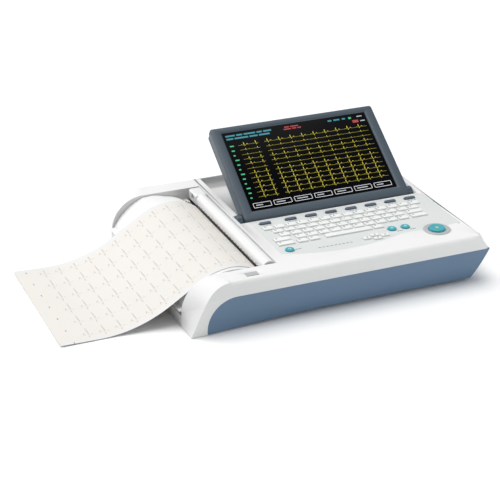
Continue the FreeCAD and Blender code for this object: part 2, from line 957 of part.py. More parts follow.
def paper_tray():
    body = piece("paper_tray")
    tray_wall = get("tray_wall")
    left = get("tray_left")
    tall = get("tray_height")
    add(body, "XY", tub_floor, tall, box(left, tray_right(), tray_front, tray_rear))
    cut(body, "XY", tub_floor + tray_wall, tall,
        box(left + tray_wall, tray_right() - tray_wall, tray_front + tray_wall, tray_rear - tray_wall))
    # guides that hold the pack against the front of the tray
    guide_y = paper_front + get("paper_width") + get("pack_gap")
    half_guide = get("guide_width") / 2
    spots = [left + get("pack_length") * share for share in (0.2, 0.7)]
    add(body, "XY", tub_floor + tray_wall / 2, tall - get("guide_drop"),
        *[box(x - half_guide, x + half_guide, guide_y, tray_rear - tray_wall / 2) for x in spots])
    return body


def paper_pack():
    """Folded chart paper: a stack with a groove at each end between its folds."""
    body = piece("paper_pack")
    left = get("tray_left") + get("tray_wall") + get("pack_gap")
    right = left + get("pack_length")
    low = tub_floor + get("tray_wall")
    high = get("pack_height")
    groove = get("fold_groove")
    step = high / FOLDS
    add(body, "XY", low, high, box(left, right, paper_front, paper_front + get("paper_width")))
    for end in (left, right):
        grooves = [box(end - groove, end + groove, low + step * (index + 0.5), low + step * (index + 0.75))
                   for index in range(FOLDS)]
        cut(body, "XZ", paper_front - margin, get("paper_width") + 2 * margin, *grooves)
    return body


def recorder_paper():
    """The printed sheet: up out of the slot, over the lid's crest and down on to the table."""
    body = piece("recorder_paper")
    thick = get("paper_thickness")
    ride = get("lid_round") + get("paper_lift")
    leave = get("paper_leave_angle")
    hump = get("paper_hump_round")
    curl = get("paper_floor_round")
    top_x, base = lid_centre
    crest = base + ride

    def face(offset):
        """Points of one face of the sheet, from the slot to the table."""
        hump_middle = (top_x, crest - hump)
        leave_x = top_x - (ride + offset) * sine(leave)
        leave_z = base + (ride + offset) * cosine(leave)
        floor_z = floor_gap + offset
        bend = curl - offset
        fall = leave_z - floor_z - bend * (1 - cosine(leave))
        bend_x = leave_x - fall * cosine(leave) / sine(leave)
        bend_z = leave_z - fall
        return [(slot_x, on_arc(hump_middle, hump + offset, slot_x)), (top_x, crest + offset),
                (leave_x, leave_z), (bend_x, bend_z), (bend_x - bend * sine(leave), floor_z),
                (-get("paper_reach"), floor_z)]

    lower = face(Size(0))
    upper = face(thick)
    radii = [hump, ride, None, -curl, None]
    corners = [lower[0]]
    for spot, radius in zip(lower[1:], radii):
        corners.append((*spot, radius) if radius else spot)
    corners.append(upper[-1])
    radii = [None, curl - thick, None, -(ride + thick), -(hump + thick)]
    for spot, radius in zip(reversed(upper[:-1]), radii):
        corners.append((*spot, radius) if radius else spot)
    rear = paper_front + get("paper_width")
    add(body, "XZ", paper_front, get("paper_width"), corners)
    # the free end is torn a little askew
    reach = -get("paper_reach")
    skewed = reach + get("paper_skew")
    cut(body, "XY", -margin, 3 * margin, [(reach, paper_front), (skewed, rear), (skewed, rear + margin),
                                          (reach - margin, rear + margin), (reach - margin, paper_front)])
    return body


# Print unit

shaft_front = lid_front + get("shell_gap")
shaft_rear = lid_rear - get("shell_gap")
pitch_radius = get("gear_module") * get("platen_teeth") / 2
pinion_radius = get("gear_module") * get("pinion_teeth") / 2
mesh = pitch_radius + pinion_radius + get("mesh_gap")
gear_front = lid_rear - get("cheek_thickness") - get("gear_inset") - get("gear_width")
leg_rear = lid_rear + get("leg_gap")
motor_face = leg_rear + get("frame_plate")
pinion = (platen[0] + mesh * cosine(get("mesh_angle")), platen[1] - mesh * sine(get("mesh_angle")))


def platen_roller():
    body = piece("platen_roller")
    tube = [(*platen, get("platen_radius")), (*platen, get("shaft_radius"))]
    add(body, "XZ", paper_front, get("paper_width"), circles=tube)
    return body


def platen_shaft():
    body = piece("platen_shaft")
    add(body, "XZ", shaft_front, shaft_rear - shaft_front, circles=[(*platen, get("shaft_radius"))])
    return body


def platen_bushes():
    body = piece("platen_bushes")
    bore = get("shaft_radius") + get("running_gap")
    ring = [(*platen, get("bush_radius")), (*platen, bore)]
    thick = get("cheek_thickness")
    for front in (lid_front, lid_rear - thick):
        add(body, "XZ", front, thick, circles=ring)
    return body


def gear(label, middle, teeth, bore):
    """A spur wheel: a root disc, one tapered tooth and its polar pattern."""
    body = piece(label, (middle[0], 0, middle[1]))
    module = get("gear_module")
    count = get(teeth)
    pitch = module * count / 2
    rim = pitch - 1.15 * module
    tip = pitch + 0.9 * module
    foot_half = 0.95 * module
    tip_half = 0.3 * module
    foot = rim - 0.5 * module
    add(body, "XZ", gear_front, get("gear_width"), circles=[(0, 0, rim), (0, 0, bore)])
    tooth = [(foot_half, foot), (tip_half, tip), (-tip_half, tip), (-foot_half, foot)]
    feature = add(body, "XZ", gear_front, get("gear_width"), tooth)
    doc.recompute()
    pattern = body.newObject("PartDesign::PolarPattern", "Teeth")
    pattern.Originals = [feature]
    axis = next(item for item in body.Origin.OriginFeatures if item.Role == "Y_Axis")
    pattern.Axis = (axis, [""])
    pattern.Angle = 360
    bind(pattern, "Occurrences", count)
    body.Tip = pattern
    return body


def turn(body, angle):
    """Turn a wheel about its own axis."""
    body.Placement.Rotation = FreeCAD.Rotation(FreeCAD.Vector(0, 1, 0), 1)
    bind(body, "Placement.Rotation.Angle", angle)


def platen_gear():
    body = gear("platen_gear", platen, "platen_teeth", get("shaft_radius"))
    turn(body, 90 + get("mesh_angle"))
    return body


def motor_pinion():
    """The small wheel, on the shaft that runs in the motor."""
    body = gear("motor_pinion", pinion, "pinion_teeth", get("motor_shaft_radius"))
    add(body, "XZ", gear_front, motor_face + get("shaft_grip") - gear_front,
        circles=[(0, 0, get("motor_shaft_radius"))])
    turn(body, get("mesh_angle") - 90 + 180 / get("pinion_teeth"))
    return body


def printer_frame():
    """A steel bridge over the paper tray: a web between two legs."""
    body = piece("printer_frame")
    plate = get("frame_plate")
    web = frame_x
    top = parting - get("shell_gap")
    low = get("frame_bottom")
    leg_front = depth - leg_rear - plate
    add(body, "XZ", leg_front, leg_rear - leg_front + plate, box(web, web + plate, low, top))
    leg = box(platen[0], web + plate, tub_floor, top)
    add(body, "XZ", leg_front, plate, leg)
    add(body, "XZ", leg_rear, plate, leg)
    cut(body, "XZ", leg_rear - margin, plate + 2 * margin,
        circles=[(*pinion, get("motor_shaft_radius") + get("key_gap"))])
    return body


def feed_motor():
    body = piece("feed_motor")
    side = get("motor_side")
    add(body, "XZ", motor_face, get("motor_length"),
        slab(pinion[0], pinion[1] - get("motor_drop"), side, side))
    cut(body, "XZ", motor_face - margin, get("shaft_grip") + 2 * margin,
        circles=[(*pinion, get("motor_shaft_radius") + get("running_gap"))])
    return body


head_x = platen[0] + get("platen_radius") + get("head_gap")
head_top = platen[1] + get("head_height") / 2
carrier_x = head_x + get("head_thickness")
carrier_back = carrier_x + get("carrier_thickness")
frame_x = carrier_back + get("spring_bow")


def print_head():
    body = piece("print_head")
    add(body, "XZ", paper_front, get("paper_width"),
        box(head_x, carrier_x, head_top - get("head_height"), head_top))
    return body


def head_carrier():
    """Finned heat sink that holds the print head."""
    body = piece("head_carrier")
    low = head_top - get("head_height")
    drop = get("carrier_drop")
    add(body, "XZ", paper_front, get("paper_width"), box(carrier_x, carrier_back, low, head_top - drop))
    pitch = get("paper_width") / (FINS + 2)
    fin_x = carrier_back - get("carrier_thickness") / 2
    slots = [box(fin_x, carrier_back + drop, paper_front + pitch * (index + 0.25),
                 paper_front + pitch * (index + 0.75)) for index in range(1, FINS + 1)]
    cut(body, "XY", low - drop, get("head_height") / 3, *slots)
    return body


def head_springs():
    """Bowed leaf springs between the frame and the carrier."""
    body = piece("head_springs")
    strip = get("spring_strip")
    near = carrier_back
    far = frame_x
    middle = paper_front + get("paper_width") / 2
    end = get("spring_span") / 2
    foot = get("spring_foot")
    for index in (-1, 0, 1):
        y = middle + index * get("paper_width") / 3
        half_bow = [(far - strip, foot - end), (far - strip, -end), (far, -end), (far, foot - end),
                    (near + strip, -foot / 3)]
        other = [(x, -up) for x, up in reversed(half_bow)]
        bow = half_bow + other + [(near, foot / 2), (near, -foot / 2)]
        add(body, "XY", get("frame_bottom") + strip, get("spring_width"), [(x, y + up) for x, up in bow])
    return body


def tear_bar():
    """Half-round bar over the slot, with the end block that holds it."""
    body = piece("tear_bar")
    low = get("bar_bottom")
    radius = get("bar_width") / 2
    spring = deck + get("bar_rise") - radius
    front = lid_front + get("bar_front_gap")
    block = get("bar_block")
    block_front = depth - arm - get("bar_end_gap") - block
    bar = [(bar_left, low), (arm_root, low), (arm_root, spring),
           (bar_left + radius, spring + radius, radius), (bar_left, spring, radius)]
    add(body, "XZ", front, block_front - front, bar)
    block_low = low - get("bar_block_drop")
    block_top = deck + get("bar_block_rise")
    add(body, "XZ", block_front, block,
        clipped(bar_left, arm_root, block_low, block_top, get("bar_block_drop")))
    hole = (block_front + block / 2, (block_low + block_top) / 2 + get("bar_block_rise"))
    cut(body, "YZ", bar_left - margin, margin + get("bar_hole_depth"),
        circles=[(*hole, get("bar_hole_radius"))])
    return body


def tear_blade():
    """Thin serrated strip under the bar's edge."""
    body = piece("tear_blade")
    long = get("paper_width")
    left = bar_left - get("blade_thickness")
    low = get("bar_bottom")
    high = low + get("blade_height")
    deep = get("tooth_depth")
    add(body, "XZ", paper_front, long, box(left, bar_left, low, high))
    step = long / BLADE_TEETH
    notches = [[(paper_front + step * (index + 0.1), high), (paper_front + step * (index + 0.5), high - deep),
                (paper_front + step * (index + 0.9), high), (paper_front + step * (index + 0.5), high + deep)]
               for index in range(BLADE_TEETH)]
    cut(body, "YZ", left - margin, get("blade_thickness") + 2 * margin, *notches)
    return body


def lid_release():
    body = piece("lid_release")
    low = deck - get("release_pocket") + get("release_travel") + get("key_gap")
    add(body, "XY", low, deck + get("release_proud") - low,
        slab(*release_spot(), get("release_width"), get("release_depth")))
    return body


# Display, drawn lying flat with its pivot at the body's origin, then tilted

half = get("display_width") / 2
display_low = -pivot_up
display_high = get("display_height") - pivot_up
bezel_back = pivot_in - get("bezel_depth")
back_face = bezel_back - get("back_depth")
screen = box(get("bezel_side") - half, half - get("bezel_side"), display_low + get("bezel_bottom"),
             display_high - get("bezel_top"))
screen_low = display_low.value + get("bezel_bottom").value - margin.value
screen_high = display_high.value - get("bezel_top").value + margin.value
lcd_top = pivot_in - get("screen_sink")
display_wall = get("display_wall")


def display_piece(label):
    body = piece(label, (display_left + half, pivot_y, pivot_z))
    body.Placement.Rotation = FreeCAD.Rotation(FreeCAD.Vector(1, 0, 0), 1)
    bind(body, "Placement.Rotation.Angle", tilt)
    return body


def frame_outline(inset, radius):
    return rounded(inset - half, half - inset, display_low + inset, display_high - inset, radius)


def pin_bores(body):
    """Blind holes for the hinge pins in both sides."""
    reach = get("pin_grip")
    for start in (-half - margin, half - reach):
        cut(body, "YZ", start, reach + margin, circles=[(0, 0, get("pin_radius"))])


def display_bezel():
    body = display_piece("display_bezel")
    round_off = get("display_round")
    add(body, "XY", bezel_back, get("bezel_depth"), frame_outline(Size(0), round_off))
    cut(body, "XY", bezel_back - margin, lcd_top - bezel_back + margin,
        clipped(display_wall - half, half - display_wall, display_low + display_wall,
                display_high - display_wall, round_off - display_wall))
    cut(body, "XY", lcd_top - margin, get("screen_sink") + 2 * margin, screen)
    edge_x = half.value - round_off.value - margin.value
    soften(body, "Chamfer", get("bezel_chamfer"),
           lambda spot, edge: abs(spot.z - pivot_in.value) < 0.01
           and (abs(spot.x) > edge_x or not screen_low < spot.y < screen_high))
    return body


def display_back():
    """Rear cover with sloping sides, hollow, with solid ears for the hinge pins."""
    body = display_piece("display_back")
    round_off = get("display_round")
    taper = get("back_taper")
    loft(body, "XY", [(back_face, frame_outline(taper, round_off)),
                      (bezel_back - get("back_depth") / 2, frame_outline(Size(0), round_off)),
                      (bezel_back, frame_outline(Size(0), round_off))])
    ear = get("pin_grip") + display_wall
    inside = box(ear - half, half - ear, display_low + taper + display_wall,
                 display_high - taper - display_wall)
    cut(body, "XY", back_face + display_wall, get("back_depth"), inside)
    pin_bores(body)
    return body


def lcd_panel():
    body = display_piece("lcd_panel")
    inset = display_wall + get("key_gap")
    add(body, "XY", lcd_top - get("lcd_thickness"), get("lcd_thickness"),
        clipped(inset - half, half - inset, display_low + inset, display_high - inset,
                get("display_round") - display_wall))
    return body


def chips(body, low, high, middle, long, deep):
    """Square chips spread over a circuit board."""
    add(body, "XY", low, high, *[slab(middle[0] + along * long, middle[1] + across * deep, side * long,
                                      side * long) for along, across, side in CHIPS])


def display_board():
    body = display_piece("display_board")
    low = back_face + display_wall
    rise = get("display_board_rise")
    inset = get("display_board_inset")
    thick = get("board_thickness")
    boss = get("boss_side")
    long = get("display_width") - 2 * inset
    deep = get("display_height") - 2 * inset
    middle = (Size(0), (display_low + display_high) / 2)
    add(body, "XY", low + rise, thick, slab(*middle, long, deep))
    reach = (long / 2 - boss, deep / 2 - boss)
    posts = [(x * reach[0], middle[1] + y * reach[1]) for x in (-1, 1) for y in (-1, 1)]
    add(body, "XY", low, rise + thick / 2, *[slab(*spot, boss, boss) for spot in posts])
    chips(body, low + rise, thick + get("chip_height"), middle, long, deep)
    return body


def hinge_pins():
    body = display_piece("hinge_pins")
    reach = get("pin_grip")
    out = get("post_gap") + get("post_width") - get("pin_end_gap")
    for start in (-half - out, half - reach):
        add(body, "YZ", start, reach + out, circles=[(0, 0, get("pin_radius"))])
    return body


def hinge_posts():
    """Two upright posts in the display well with bores for the pins."""
    body = piece("hinge_posts")
    radius = get("post_radius")
    gap = get("post_gap")
    post_width = get("post_width")
    outline = [(pivot_y + radius, recess_floor), (pivot_y + radius, pivot_z), (pivot_y, pivot_z + radius, radius),
               (pivot_y - radius, pivot_z, radius), (pivot_y - radius, recess_floor)]
    for left in (display_left - gap - post_width, display_right + gap):
        add(body, "YZ", left, post_width, outline)
    bore = [(pivot_y, pivot_z, get("pin_radius") + get("running_gap"))]
    cut(body, "YZ", display_left - gap - post_width - margin, post_width + 2 * margin, circles=bore)
    cut(body, "YZ", display_right - margin, post_width + 2 * margin, circles=bore)
    return body


# Keyboard

panel_top = deck - get("panel_sink")
panel_low = panel_top - get("panel_thickness")
key_top = panel_top + get("key_height")
key_low = panel_low - get("flange_height")
key_gap = get("key_gap")
space_x = first_key_x + SPACE_PLACE * key_pitch


def letter_row(row, first_x, count):
    y = first_row - row * row_pitch
    return [(first_x + index * key_pitch, y, key_width, key_depth) for index in range(count)]


def single_key(place, row, wide):
    """One key of a row, at a number of key pitches from the first number key."""
    return (first_key_x + place * key_pitch, first_row - row * row_pitch, wide, key_depth)


wide = get("wide_key_width")
shift = get("wide_key_shift")
KEY_ROWS = {
    "number_keys": letter_row(0, first_key_x, NUMBER_KEYS),
    "upper_letter_keys": letter_row(1, first_key_x + UPPER_START * key_pitch, UPPER_KEYS),
    "middle_letter_keys": letter_row(2, first_key_x + MIDDLE_START * key_pitch, MIDDLE_KEYS)
    + [single_key(LAST_KEY, 2, wide)],
    "lower_letter_keys": letter_row(3, first_key_x + LOWER_START * key_pitch, LOWER_KEYS)
    + [(first_key_x + shift, first_row - 3 * row_pitch, wide, key_depth), single_key(LAST_KEY, 3, wide)],
    "bottom_row_keys": letter_row(4, first_key_x + shift + 1.4 * key_pitch, 2)
    + [(first_key_x + shift, bottom_row, wide, key_depth),
       (space_x + get("space_width") / 2 + get("space_gap"), bottom_row, key_width, key_depth)],
    "space_bar": [(space_x, bottom_row, get("space_width"), key_depth)],
}
arrow = get("arrow_width")
arrow_tall = get("arrow_depth")
arrow_pitch = (arrow + get("arrow_space"), (arrow_tall + get("arrow_space")) * 0.57)
KEY_ROWS["arrow_keys"] = [
    (start[0] - get("arrow_gap") + i * arrow_pitch[0], get("arrow_y") + j * arrow_pitch[1], arrow, arrow_tall)
    for i, j in ((-1, 0), (1, 0), (0, 1), (0, -1))]
second_pill = panel_left + get("pill_second")
pill_pitch = (panel_right - get("pill_last") - second_pill) / (FUNCTION_KEYS - 2)
PILLS = [panel_left + get("pill_first")]
PILLS += [second_pill + index * pill_pitch for index in range(FUNCTION_KEYS - 1)]
ROUND_KEYS = {
    "patient_key": (panel_left + get("patient_key_x"), get("panel_front_left") + get("patient_key_y")),
    "copy_key": (start[0] - get("copy_key_gap"), start[1] + get("copy_key_rise")),
    "mode_key": (start[0] - get("mode_key_gap"), start[1] + get("mode_key_rise")),
}


def pill(x, grow):
    """A function key seen from above, with clipped ends."""
    across = get("pill_width") / 2 + grow
    tall = get("pill_depth") / 2 + grow
    return clipped(x - across, x + across, pill_y - tall, pill_y + tall, tall * 0.6)


def keyboard_panel():
    body = piece("keyboard_panel")
    thick = get("panel_thickness")
    add(body, "XY", panel_low, thick, panel_outline(Size(0)))
    add(body, "XY", panel_low, thick, circles=[(*start, get("ring_radius") + get("panel_ledge"))])
    low = panel_low - margin
    through = thick + 2 * margin
    for keys in KEY_ROWS.values():
        cut(body, "XY", low, through, *[slab(x, y, w + 2 * key_gap, d + 2 * key_gap) for x, y, w, d in keys])
    cut(body, "XY", low, through, *[pill(x, key_gap) for x in PILLS])
    cut(body, "XY", low, through, circles=[(*start, get("start_radius") + key_gap)] + [
        (*spot, get("round_key_radius") + key_gap) for spot in ROUND_KEYS.values()])
    return body


def key_cap(body, cap, flange):
    """A key that stands out of the panel and a wider flange that stays under it."""
    add(body, "XY", key_low + get("flange_height") / 2, key_top - key_low - get("flange_height") / 2, *cap)
    add(body, "XY", key_low - key_gap / 2, get("flange_height"), *flange)


def key_rows():
    grow = get("key_flange")
    for label, keys in KEY_ROWS.items():
        body = piece(label)
        key_cap(body, [slab(*key) for key in keys], [slab(x, y, w + grow, d + grow) for x, y, w, d in keys])


def function_keys():
    for number, x in enumerate(PILLS, 1):
        body = piece(f"function_key_{number}")
        key_cap(body, [pill(x, Size(0))], [pill(x, get("key_flange"))])


def round_key(label, x, y, radius, rise):
    """A round key on an eight-sided flange that stays under the panel."""
    body = piece(label)
    low = key_low - key_gap / 2
    flange = radius + get("key_flange")
    add(body, "XY", low, key_top + rise - low, circles=[(x, y, radius)])
    add(body, "XY", low, get("flange_height"),
        clipped(x - flange, x + flange, y - flange, y + flange, 0.586 * flange))


def round_keys():
    for label, spot in ROUND_KEYS.items():
        round_key(label, *spot, get("round_key_radius"), Size(0))
    round_key("start_key", *start, get("start_radius"), get("ring_proud"))


def start_ring():
    """Grey collar on the panel round the start key."""
    body = piece("start_ring")
    add(body, "XY", panel_top, get("ring_proud"),
        circles=[(*start, get("ring_radius") + get("ring_lip")), (*start, get("start_radius") + key_gap)])
    return body


def board_span(inset):
    return box(recess_left + wall + inset, width - end_lean - wall - margin - inset,
               lean + wall + margin + inset, recess_front - wall - margin - inset)


def key_mat():
    """Rubber sheet with a low ridge under each row of keys."""
    body = piece("key_mat")
    thick = get("mat_thickness")
    add(body, "XY", board_top(), thick / 2, board_span(get("mat_inset")))
    ridges = [slab(first_key_x + row_length / 2, bottom_row + row * row_pitch, row_length, get("mat_ridge"))
              for row in range(5)]
    add(body, "XY", board_top(), thick, *ridges)
    return body


def keyboard_board():
    body = piece("keyboard_board")
    thick = get("board_thickness")
    add(body, "XY", board_top() - thick, thick, board_span(Size(0)))
    return body


# Electronics and sockets

def battery_pack():
    body = piece("battery_pack")
    x, y = battery_spot()
    add(body, "XY", tub_floor, get("battery_height"), slab(x, y, get("battery_length"), get("battery_width")))
    return body


def main_board():
    body = piece("main_board")
    low = tub_floor + get("board_rise")
    thick = get("board_thickness")
    long = get("main_length")
    deep = get("main_width")
    add(body, "XY", low, thick, slab(*main_spot(), long, deep))
    chips(body, low, thick + get("main_chip_height"), main_spot(), long, deep)
    return body


def power_supply():
    """Open mains supply: a board with a transformer and two capacitors."""
    body = piece("power_supply")
    long = get("supply_length")
    deep = get("supply_width")
    x = inner_right - long / 2 - get("supply_side_gap")
    y = depth - inner_front - deep / 2 - get("supply_rear_gap")
    add(body, "XY", tub_floor, get("board_thickness"), slab(x, y, long, deep))
    add(body, "XY", tub_floor, get("supply_height"),
        slab(x - 0.15 * long, y - 0.14 * deep, get("transformer_length"), get("transformer_width")))
    add(body, "XY", tub_floor, 0.85 * get("supply_height"),
        circles=[(x + 0.28 * long, y + share * deep, get("capacitor_radius")) for share in (-0.24, 0.05)])
    return body


def ecg_module():
    """Screened input amplifier behind the patient socket."""
    body = piece("ecg_module")
    x = inner_right - get("module_length") / 2 - get("module_gap")
    add(body, "XY", tub_floor, get("module_height"),
        slab(x, get("patient_y"), get("module_length"), get("module_width")))
    return body


def patient_socket():
    """Wide D-shaped socket with a flange and two rows of contact holes."""
    body = piece("patient_socket")
    y = get("patient_y")
    gap = 2 * get("port_gap")
    wide = get("patient_width")
    tall = get("patient_height")
    flange = get("patient_flange")
    add(body, "YZ", side_panel - get("patient_depth"), get("patient_depth"),
        slab(y, socket_z, wide - gap, tall - gap))
    add(body, "YZ", side_panel, get("patient_plate"), slab(y, socket_z, wide + 2 * flange, tall + flange))
    narrow = 0.375 * wide
    broad = 0.425 * wide
    up = get("patient_shell_tall") / 2
    add(body, "YZ", side_panel, get("patient_shell"), [(y - narrow, socket_z - up), (y + narrow, socket_z - up),
                                                       (y + broad, socket_z + up), (y - broad, socket_z + up)])
    pitch = get("contact_pitch")
    row = get("contact_row") / 2
    middle = (CONTACTS - 1) / 2
    holes = [(y + pitch * (index - middle), socket_z + row) for index in range(CONTACTS)]
    holes += [(y + pitch * (index - middle + 0.5), socket_z - row) for index in range(CONTACTS - 1)]
    hole = get("contact_hole")
    cut(body, "YZ", side_panel + get("patient_shell") / 3, get("patient_shell"),
        *[slab(*spot, hole, hole) for spot in holes])
    return body


def data_ports():
    """Network socket and two memory sockets, each an open metal box."""
    body = piece("data_ports")
    gap = 2 * get("port_gap")
    skin = gap + 2 * get("port_wall")
    deep = get("port_depth")
    tall = get("port_height")
    add(body, "YZ", side_panel - deep, deep,
        *[slab(at, socket_z, wide - gap, tall - gap) for at, wide in ports()])
    cut(body, "YZ", side_panel - get("port_hollow"), deep,
        *[slab(at, socket_z, wide - skin, tall - skin) for at, wide in ports()])
    return body


def mains_inlet():
    """Three-pin appliance inlet with a flange."""
    body = piece("mains_inlet")
    x = get("inlet_x")
    wide = get("inlet_width")
    tall = get("inlet_height")
    deep = get("inlet_depth")
    gap = 2 * get("port_gap")
    skin = get("inlet_wall")
    flange = get("inlet_flange")
    add(body, "XZ", rear_panel - deep, deep, slab(x, socket_z, wide - gap, tall - gap))
    add(body, "XZ", rear_panel, get("inlet_plate"), slab(x, socket_z, wide + 2 * flange, tall + flange))
    floor = rear_panel - deep + get("inlet_floor")
    cut(body, "XZ", floor, deep, clipped(x - wide / 2 + skin, x + wide / 2 - skin, socket_z - tall / 2 + skin,
                                         socket_z + tall / 2 - skin, skin))
    spread = get("blade_spread")
    rise = get("blade_rise")
    pins = [slab(x + across, socket_z + up, get("blade_width"), get("blade_tall"))
            for across, up in ((-spread, -0.6 * rise), (spread, -0.6 * rise), (Size(0), rise))]
    add(body, "XZ", floor - skin / 2, deep - get("inlet_floor") - skin / 2, *pins)
    return body


def fuse_caps():
    """Two fuse holders with square heads that a coin turns."""
    body = piece("fuse_caps")
    side = get("fuse_side") - 2 * get("port_gap")
    head = get("fuse_head")
    plate = get("fuse_plate")
    add(body, "XZ", rear_panel - get("fuse_depth"), get("fuse_depth"),
        *[slab(*spot, side, side) for spot in fuse_spots()])
    add(body, "XZ", rear_panel, plate, *[slab(*spot, head, head) for spot in fuse_spots()])
    cut(body, "XZ", rear_panel + 0.7 * plate, plate,
        *[slab(*spot, get("fuse_side"), get("fuse_slot")) for spot in fuse_spots()])
    return body


def earth_post():
    """Earth bonding pin with its six-sided nut against the rear panel."""
    body = piece("earth_post")
    spot = earth_spot()
    radius = get("earth_radius")
    grip = get("earth_grip")
    add(body, "XZ", rear_panel - grip, grip + get("earth_reach"), circles=[(*spot, radius)])
    flat = 1.9 * radius
    corners = [Size(60 * index) for index in range(6)]
    nut = [(spot[0] + flat * cosine(angle), spot[1] + flat * sine(angle)) for angle in corners]
    add(body, "XZ", rear_panel, get("earth_nut"), nut)
    return body


def build():
    upper_casing()
    lower_casing()
    rubber_feet()
    battery_door()
    recorder_lid()
    lid_runners()
    paper_tray()
    paper_pack()
    recorder_paper()
    platen_roller()
    platen_shaft()
    platen_bushes()
    platen_gear()
    motor_pinion()
    printer_frame()
    feed_motor()
    print_head()
    head_carrier()
    head_springs()
    tear_bar()
    tear_blade()
    lid_release()
    display_bezel()
    display_back()
    lcd_panel()
    display_board()
    hinge_pins()
    hinge_posts()
    keyboard_panel()
    key_rows()
    function_keys()
    round_keys()
    start_ring()
    key_mat()
    keyboard_board()
    battery_pack()
    main_board()
    power_supply()
    ecg_module()
    patient_socket()
    data_ports()
    mains_inlet()
    fuse_caps()
    earth_post()


def save():
    doc.recompute()
    for thing in doc.Objects:
        if "Invalid" in thing.State or "Error" in thing.State:
            raise RuntimeError(f"{thing.Label} is not built: {thing.State}")
    os.makedirs("parts", exist_ok=True)
    for body in pieces:
        if body.Shape.isNull() or not body.Shape.isValid():
            raise RuntimeError(f"{body.Label} has no valid shape")
        body.Shape.exportStep(f"parts/{body.Label}.step")
    print(len(pieces), "pieces")


build()
save()
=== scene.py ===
import math

import bmesh
import bpy
from mathutils import Matrix, Vector


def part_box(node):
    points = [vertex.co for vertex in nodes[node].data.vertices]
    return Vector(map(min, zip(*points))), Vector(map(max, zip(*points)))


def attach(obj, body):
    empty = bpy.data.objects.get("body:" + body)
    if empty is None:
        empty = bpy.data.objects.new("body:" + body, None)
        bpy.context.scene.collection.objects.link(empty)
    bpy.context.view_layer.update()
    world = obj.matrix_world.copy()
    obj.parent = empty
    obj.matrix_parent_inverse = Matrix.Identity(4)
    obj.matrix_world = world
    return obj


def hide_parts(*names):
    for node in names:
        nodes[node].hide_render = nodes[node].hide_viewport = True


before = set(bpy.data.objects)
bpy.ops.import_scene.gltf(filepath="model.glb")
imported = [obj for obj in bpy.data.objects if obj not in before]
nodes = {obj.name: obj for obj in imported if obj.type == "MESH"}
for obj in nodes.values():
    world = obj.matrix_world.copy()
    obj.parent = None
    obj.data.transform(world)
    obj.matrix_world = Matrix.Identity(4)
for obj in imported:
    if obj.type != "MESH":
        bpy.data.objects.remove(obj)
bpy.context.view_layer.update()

# Camera and studio. The photograph looks down on the machine from the front left through a long lens.
# A broad soft light stands high above the rear, with a soft box behind, a weak one in front and a bright
# room all round.
scene = bpy.context.scene
scene.view_settings.view_transform = "Standard"
casing_length = 0.420
casing_low, casing_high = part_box("upper_casing")
front_left = Vector((casing_high.x - casing_length, casing_low.y, 0))
machine_middle = Vector((0, 0, 0.04))


def spot(x, y, z):
    """A place in millimetres from the casing's front left corner at table height, in the row frame."""
    return front_left + Vector((x, y, z)) / 1000


turned, raised, rolled = (math.radians(angle) for angle in (-23.67, 25.67, 0.44))
back = Vector((math.sin(turned) * math.cos(raised), -math.cos(turned) * math.cos(raised), math.sin(raised)))
level = Vector((math.cos(turned), math.sin(turned), 0))
upright = back.cross(level)
picture_right = level * math.cos(rolled) + upright * math.sin(rolled)
picture_up = upright * math.cos(rolled) - level * math.sin(rolled)
lens = bpy.data.cameras.new("camera")
lens.lens = 117.87
lens.sensor_width = 36
lens.clip_end = 50
camera = bpy.data.objects.new("camera", lens)
scene.collection.objects.link(camera)
view = Matrix((picture_right, picture_up, back)).transposed().to_4x4()
view.translation = spot(-636.2, -1633.2, 963.2)
camera.matrix_world = view
scene.camera = camera


def lamp(name, place, size, power, colour):
    """A square soft box that faces the machine."""
    light = bpy.data.lights.new(name, "AREA")
    light.size = size
    light.energy = power
    light.color = colour
    holder = bpy.data.objects.new(name, light)
    holder.location = place
    holder.rotation_euler = (machine_middle - Vector(place)).to_track_quat("-Z", "Y").to_euler()
    scene.collection.objects.link(holder)


overhead = bpy.data.lights.new("overhead", "SUN")
overhead.energy = 2.35
overhead.angle = math.radians(50)
overhead.color = (1.0, 0.99, 0.97)
overhead_holder = bpy.data.objects.new("overhead", overhead)
overhead_holder.rotation_euler = Vector((0.15, -0.5, -1.9)).to_track_quat("-Z", "Y").to_euler()
scene.collection.objects.link(overhead_holder)
lamp("rear_lamp", (-1.3, 1.2, 0.85), size=1.0, power=14, colour=(0.97, 0.98, 1.0))
lamp("front_lamp", (0.8, -1.15, 0.45), size=0.7, power=2.9, colour=(0.96, 0.98, 1.0))
room = bpy.data.worlds.new("room")
room.use_nodes = True
room_light = room.node_tree.nodes["Background"].inputs
room_light["Color"].default_value = (0.93, 0.96, 1.0, 1)
room_light["Strength"].default_value = 0.40
scene.world = room

# Table top. A matt white sheet that runs out of view on all sides, on which the machine stands. Like every
# moulded or coated surface of the machine it has a fine grain: slow changes of tone, uneven gloss and a
# small texture.


def math_node(tree, operation, *entries):
    """A maths node; each entry is a number or another node's output."""
    node = tree.nodes.new("ShaderNodeMath")
    node.operation = operation
    for socket, entry in zip(node.inputs, entries):
        if isinstance(entry, (int, float)):
            socket.default_value = entry
        else:
            tree.links.new(entry, socket)
    return node.outputs[0]


def new_group(name, inputs, outputs):
    """A shader group with named inputs, numbers or colours, and named outputs; returns its ends too."""
    group = bpy.data.node_groups.new(name, "ShaderNodeTree")
    for label, value in inputs.items():
        kind = "Float" if isinstance(value, float) else "Color"
        socket = group.interface.new_socket(name=label, in_out="INPUT", socket_type=f"NodeSocket{kind}")
        socket.default_value = value
    for label, kind in outputs.items():
        group.interface.new_socket(name=label, in_out="OUTPUT", socket_type=f"NodeSocket{kind}")
    return group, group.nodes.new("NodeGroupInput").outputs, group.nodes.new("NodeGroupOutput").inputs


